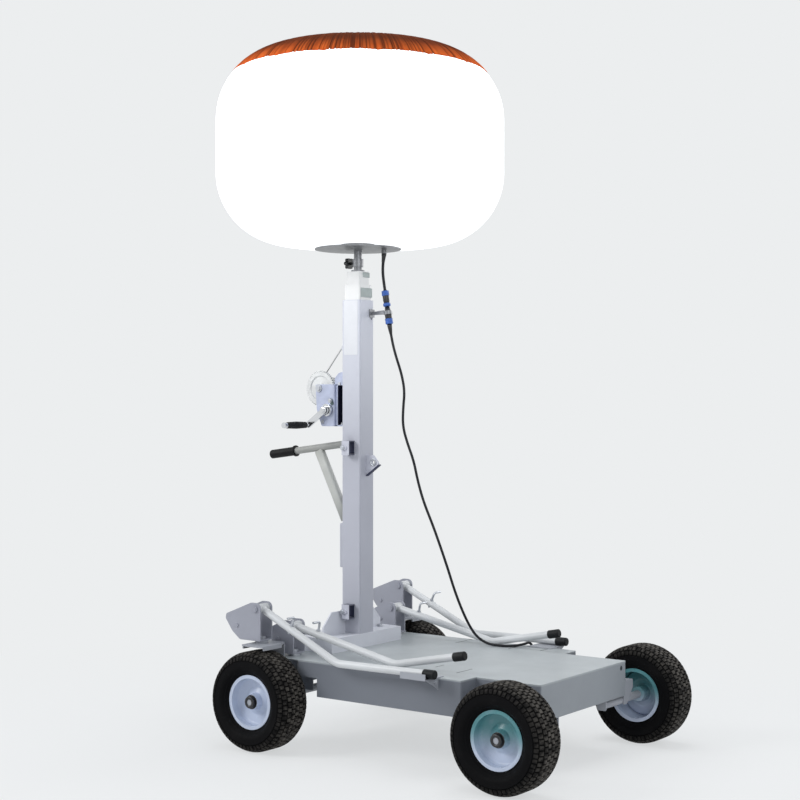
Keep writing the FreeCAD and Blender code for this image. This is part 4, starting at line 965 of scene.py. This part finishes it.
def front_stubs():
    """The front axle's two ends with their brackets, and a hanger plate for each.

    The ends are the axle's own mesh, cut through at STUB_INNER from the middle and closed there.
    """
    ends = bmesh.new()
    for way in (1, -1):
        half = bmesh.new()
        half.from_mesh(NODES["front_axle"].data)
        bmesh.ops.remove_doubles(half, verts=half.verts, dist=1e-6)
        cut = bmesh.ops.bisect_plane(half, geom=half.verts[:] + half.edges[:] + half.faces[:],
                                     plane_co=(0, way * STUB_INNER / 1000, 0), plane_no=(0, -way, 0),
                                     clear_outer=True)
        rim = [e for e in cut["geom_cut"] if isinstance(e, bmesh.types.BMEdge)]
        bmesh.ops.holes_fill(half, edges=rim)
        mesh = bpy.data.meshes.new("half")
        half.to_mesh(mesh)
        ends.from_mesh(mesh)
        half.free()
        bpy.data.meshes.remove(mesh)
    mesh = bpy.data.meshes.new("front_stub_axles")
    ends.to_mesh(mesh)
    ends.free()
    mesh.materials.clear()
    piece = bpy.data.objects.new("front_stub_axles", mesh)
    bpy.context.scene.collection.objects.link(piece)
    mesh.materials.append(FINISH["frame"])
    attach(piece, "chassis")
    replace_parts(piece, "front_axle")
    hanger = loop(rect(943, 977, 150, 294.6), 6)
    plates("front_axle_hangers", [slab(hanger, Y, way * STUB_INNER - SHEET / 2, SHEET) for way in (-1, 1)],
           "chassis", "frame")


def mast_trim():
    """Bare plate, plain film and tip plate on the mast, and the keepers' dark sheets of painted shade and bolts.
    """
    plates("mast_bare_plate", [slab(loop(rect(46, 106, 1316, 1506), 5), Y, -40, -0.8)], "chassis", "plate",
           0.0002)
    plates("mast_film_band", [slab(rect(-29, 35, 1518, 1550), X, 111.7, 0.4)], "mast_mid", "band",
           0)
    plates("mast_tip_plate", [slab(rect(-10, 28, 1588, 1605), X, 106.2, 0.4)], "mast_inner", "band",
           0)
    # Painted shade: a dark sheet on the mast inside each keeper.
    for label, z in KEEPERS:
        plates("keeper_shade_sheet_" + label, [slab(rect(61, 91, z - 20, z + 20), Y, -41, 0.8)], "chassis", "shade_sheet",
               0)
    bolts("keeper_bolts", [((68, -77.1, z), NEAR, 6, 5) for _, z in KEEPERS], "chassis")


def lug_trim():
    """A bushed eye in the lug, the lug's folded lower edge, dark with painted shade, and the cable hook's wire.
    """
    eye = ((-0.007, 0.0081), (-0.007, 0.0125), (-0.0062, 0.0133), (0.0062, 0.0133), (0.007, 0.0125),
           (0.007, 0.0081))
    ring_piece("lug_eye", eye, place((146, 0, 942)), FAR, "chassis", "fitting", "zinc_fittings", 48)
    # Painted shade: the lug's folded lower edge is dark navy.
    plates("lug_flange_shaded", [slab(((116, 896), (171, 935), (173.5, 931.5), (119, 893)), Y, -7, 14)], "chassis",
           "shade_sheet")
    wire = rounded(((118, 25, 1440), (118, 25, 1462), (150, 25, 1468), (172, 25, 1469)), (8, 60), 8)
    sweep("cable_hook_wire", wire, circle(2.2, 12), (0, 1, 0), "chassis", "pole", "zinc_fittings")


def deck_seams():
    """Thin dark lines across the deck, where its sheets meet."""
    lines = ((322, 247, 352), (543, 247, 340), (654, 276, 352), (547.5, -199, -152), (662.5, -249, -160))
    plates("deck_seams", [slab(rect(x - 1.4, x + 1.4, low, high), Z, DECK_TOP, 0.35) for x, low, high in lines],
           "chassis", "slit", 0)


front_stubs()
mast_trim()
lug_trim()
deck_seams()
bolts("handle_flange_bolts", [((30.8, y, z), (-1, 0, 0), 5, 4) for y in (-18, 18) for z in (988, 1024)],
      "chassis")
bolts("mast_foot_bolts", [((x, y, 347), (0, 0, 1), 8, 7) for x in (-28, 60) for y in (-150, 150)], "chassis")


# Stage, light and camera

BACKDROP = (0.839, 0.855, 0.863, 1)
SEEN_RAYS = ("Is Glossy Ray", "Is Transmission Ray")


def stage_floor():
    """A pale round floor: camera, reflections and clear pieces see the backdrop's colour with part of the
    real shading over it.

    The share of plain backdrop colour grows with the distance from the object, so no horizon shows.
    """
    t = np.linspace(0, TAU, 64, endpoint=False)
    rings = np.array([0.0005, 1.2, 2.4, 4, 8, 16, 40])[:, None]
    verts = np.stack([rings * np.cos(t), rings * np.sin(t), np.full((rings.size, t.size), -0.0004)], -1)
    mesh = bpy.data.meshes.new("studio_floor")
    mesh.from_pydata(verts.reshape(-1, 3).tolist(), [], grid_faces(rings.size, t.size)[:, ::-1].tolist())
    mesh.update()
    floor = bpy.data.objects.new("studio_floor", mesh)
    bpy.context.scene.collection.objects.link(floor)
    f = Finish("studio floor")
    f.tree.nodes.remove(f.shader)
    x, y = f.axes()[:2]
    far = x.math("SQRT", x * x + y * y).between(0.9, 2.6)
    seen = f.node("ShaderNodeLightPath")
    rays = seen.socket.node.outputs
    for ray in SEEN_RAYS:
        seen = seen.math("MAXIMUM", seen, Value(f, rays[ray]))
    share = seen * (far * 0.30 + 0.70)
    matt = f.node("ShaderNodeBsdfDiffuse", None, {"Color": (0.80, 0.81, 0.815, 1)})
    plain = f.node("ShaderNodeEmission", None, {"Color": BACKDROP})
    both = f.node("ShaderNodeMixShader", None, {0: share, 1: matt, 2: plain})
    f.tree.links.new(both.socket, f.tree.nodes["Material Output"].inputs["Surface"])
    mesh.materials.append(f.material)


def stage_world():
    """The backdrop's colour for the camera, reflections and clear pieces, softer light for the rest."""
    world = bpy.data.worlds.new("studio")
    bpy.context.scene.world = world
    world.use_nodes = True
    tree = world.node_tree
    tree.nodes.clear()
    out = tree.nodes.new("ShaderNodeOutputWorld")
    back = tree.nodes.new("ShaderNodeBackground")
    back.inputs["Color"].default_value = BACKDROP
    soft = tree.nodes.new("ShaderNodeBackground")
    soft.inputs["Color"].default_value = (0.80, 0.83, 0.88, 1)
    soft.inputs["Strength"].default_value = 0.50
    path = tree.nodes.new("ShaderNodeLightPath")
    seen = path.outputs["Is Camera Ray"]
    for ray in SEEN_RAYS:
        most = tree.nodes.new("ShaderNodeMath")
        most.operation = "MAXIMUM"
        tree.links.new(seen, most.inputs[0])
        tree.links.new(path.outputs[ray], most.inputs[1])
        seen = most.outputs[0]
    mix = tree.nodes.new("ShaderNodeMixShader")
    tree.links.new(seen, mix.inputs[0])
    tree.links.new(soft.outputs[0], mix.inputs[1])
    tree.links.new(back.outputs[0], mix.inputs[2])
    tree.links.new(mix.outputs[0], out.inputs["Surface"])


def lamp(name, spot, target, size, power, colour=(1, 1, 1)):
    """A large soft lamp aimed at a point."""
    data = bpy.data.lights.new(name, "AREA")
    data.shape = "DISK"
    data.size = size
    data.energy = power
    data.color = colour
    obj = bpy.data.objects.new(name, data)
    bpy.context.scene.collection.objects.link(obj)
    aim = np.array(target, float) - np.array(spot, float)
    obj.location = spot
    climb = math.atan2(aim[Z], math.hypot(aim[X], aim[Y]))
    obj.rotation_euler = (math.pi / 2 + climb, 0, math.atan2(-aim[X], aim[Y]))


stage_floor()
stage_world()
lamp("key", (-3.2, -4.2, 3.6), (0.1, 0, 0.7), 2.6, 170)
lamp("fill", (3.8, -2.4, 2.4), (0.1, 0, 0.6), 3.0, 45, (0.96, 0.98, 1))
lamp("top", (0.2, 0.6, 5.2), (0.1, 0, 0.6), 3.2, 90)
lamp("rim", (1.6, 4.2, 2.6), (0.1, 0, 0.8), 2.4, 45)

camera_data = bpy.data.cameras.new("camera")
camera_data.lens = 68.75
camera_data.sensor_width = 36.0
camera = bpy.data.objects.new("camera", camera_data)
bpy.context.scene.collection.objects.link(camera)
camera.location = (3.368 + REAR_X, -4.234, 1.153)
camera.rotation_euler = (math.radians(90.06), 0, math.radians(36.287))
bpy.context.scene.camera = camera
bpy.context.scene.view_settings.view_transform = "Standard"
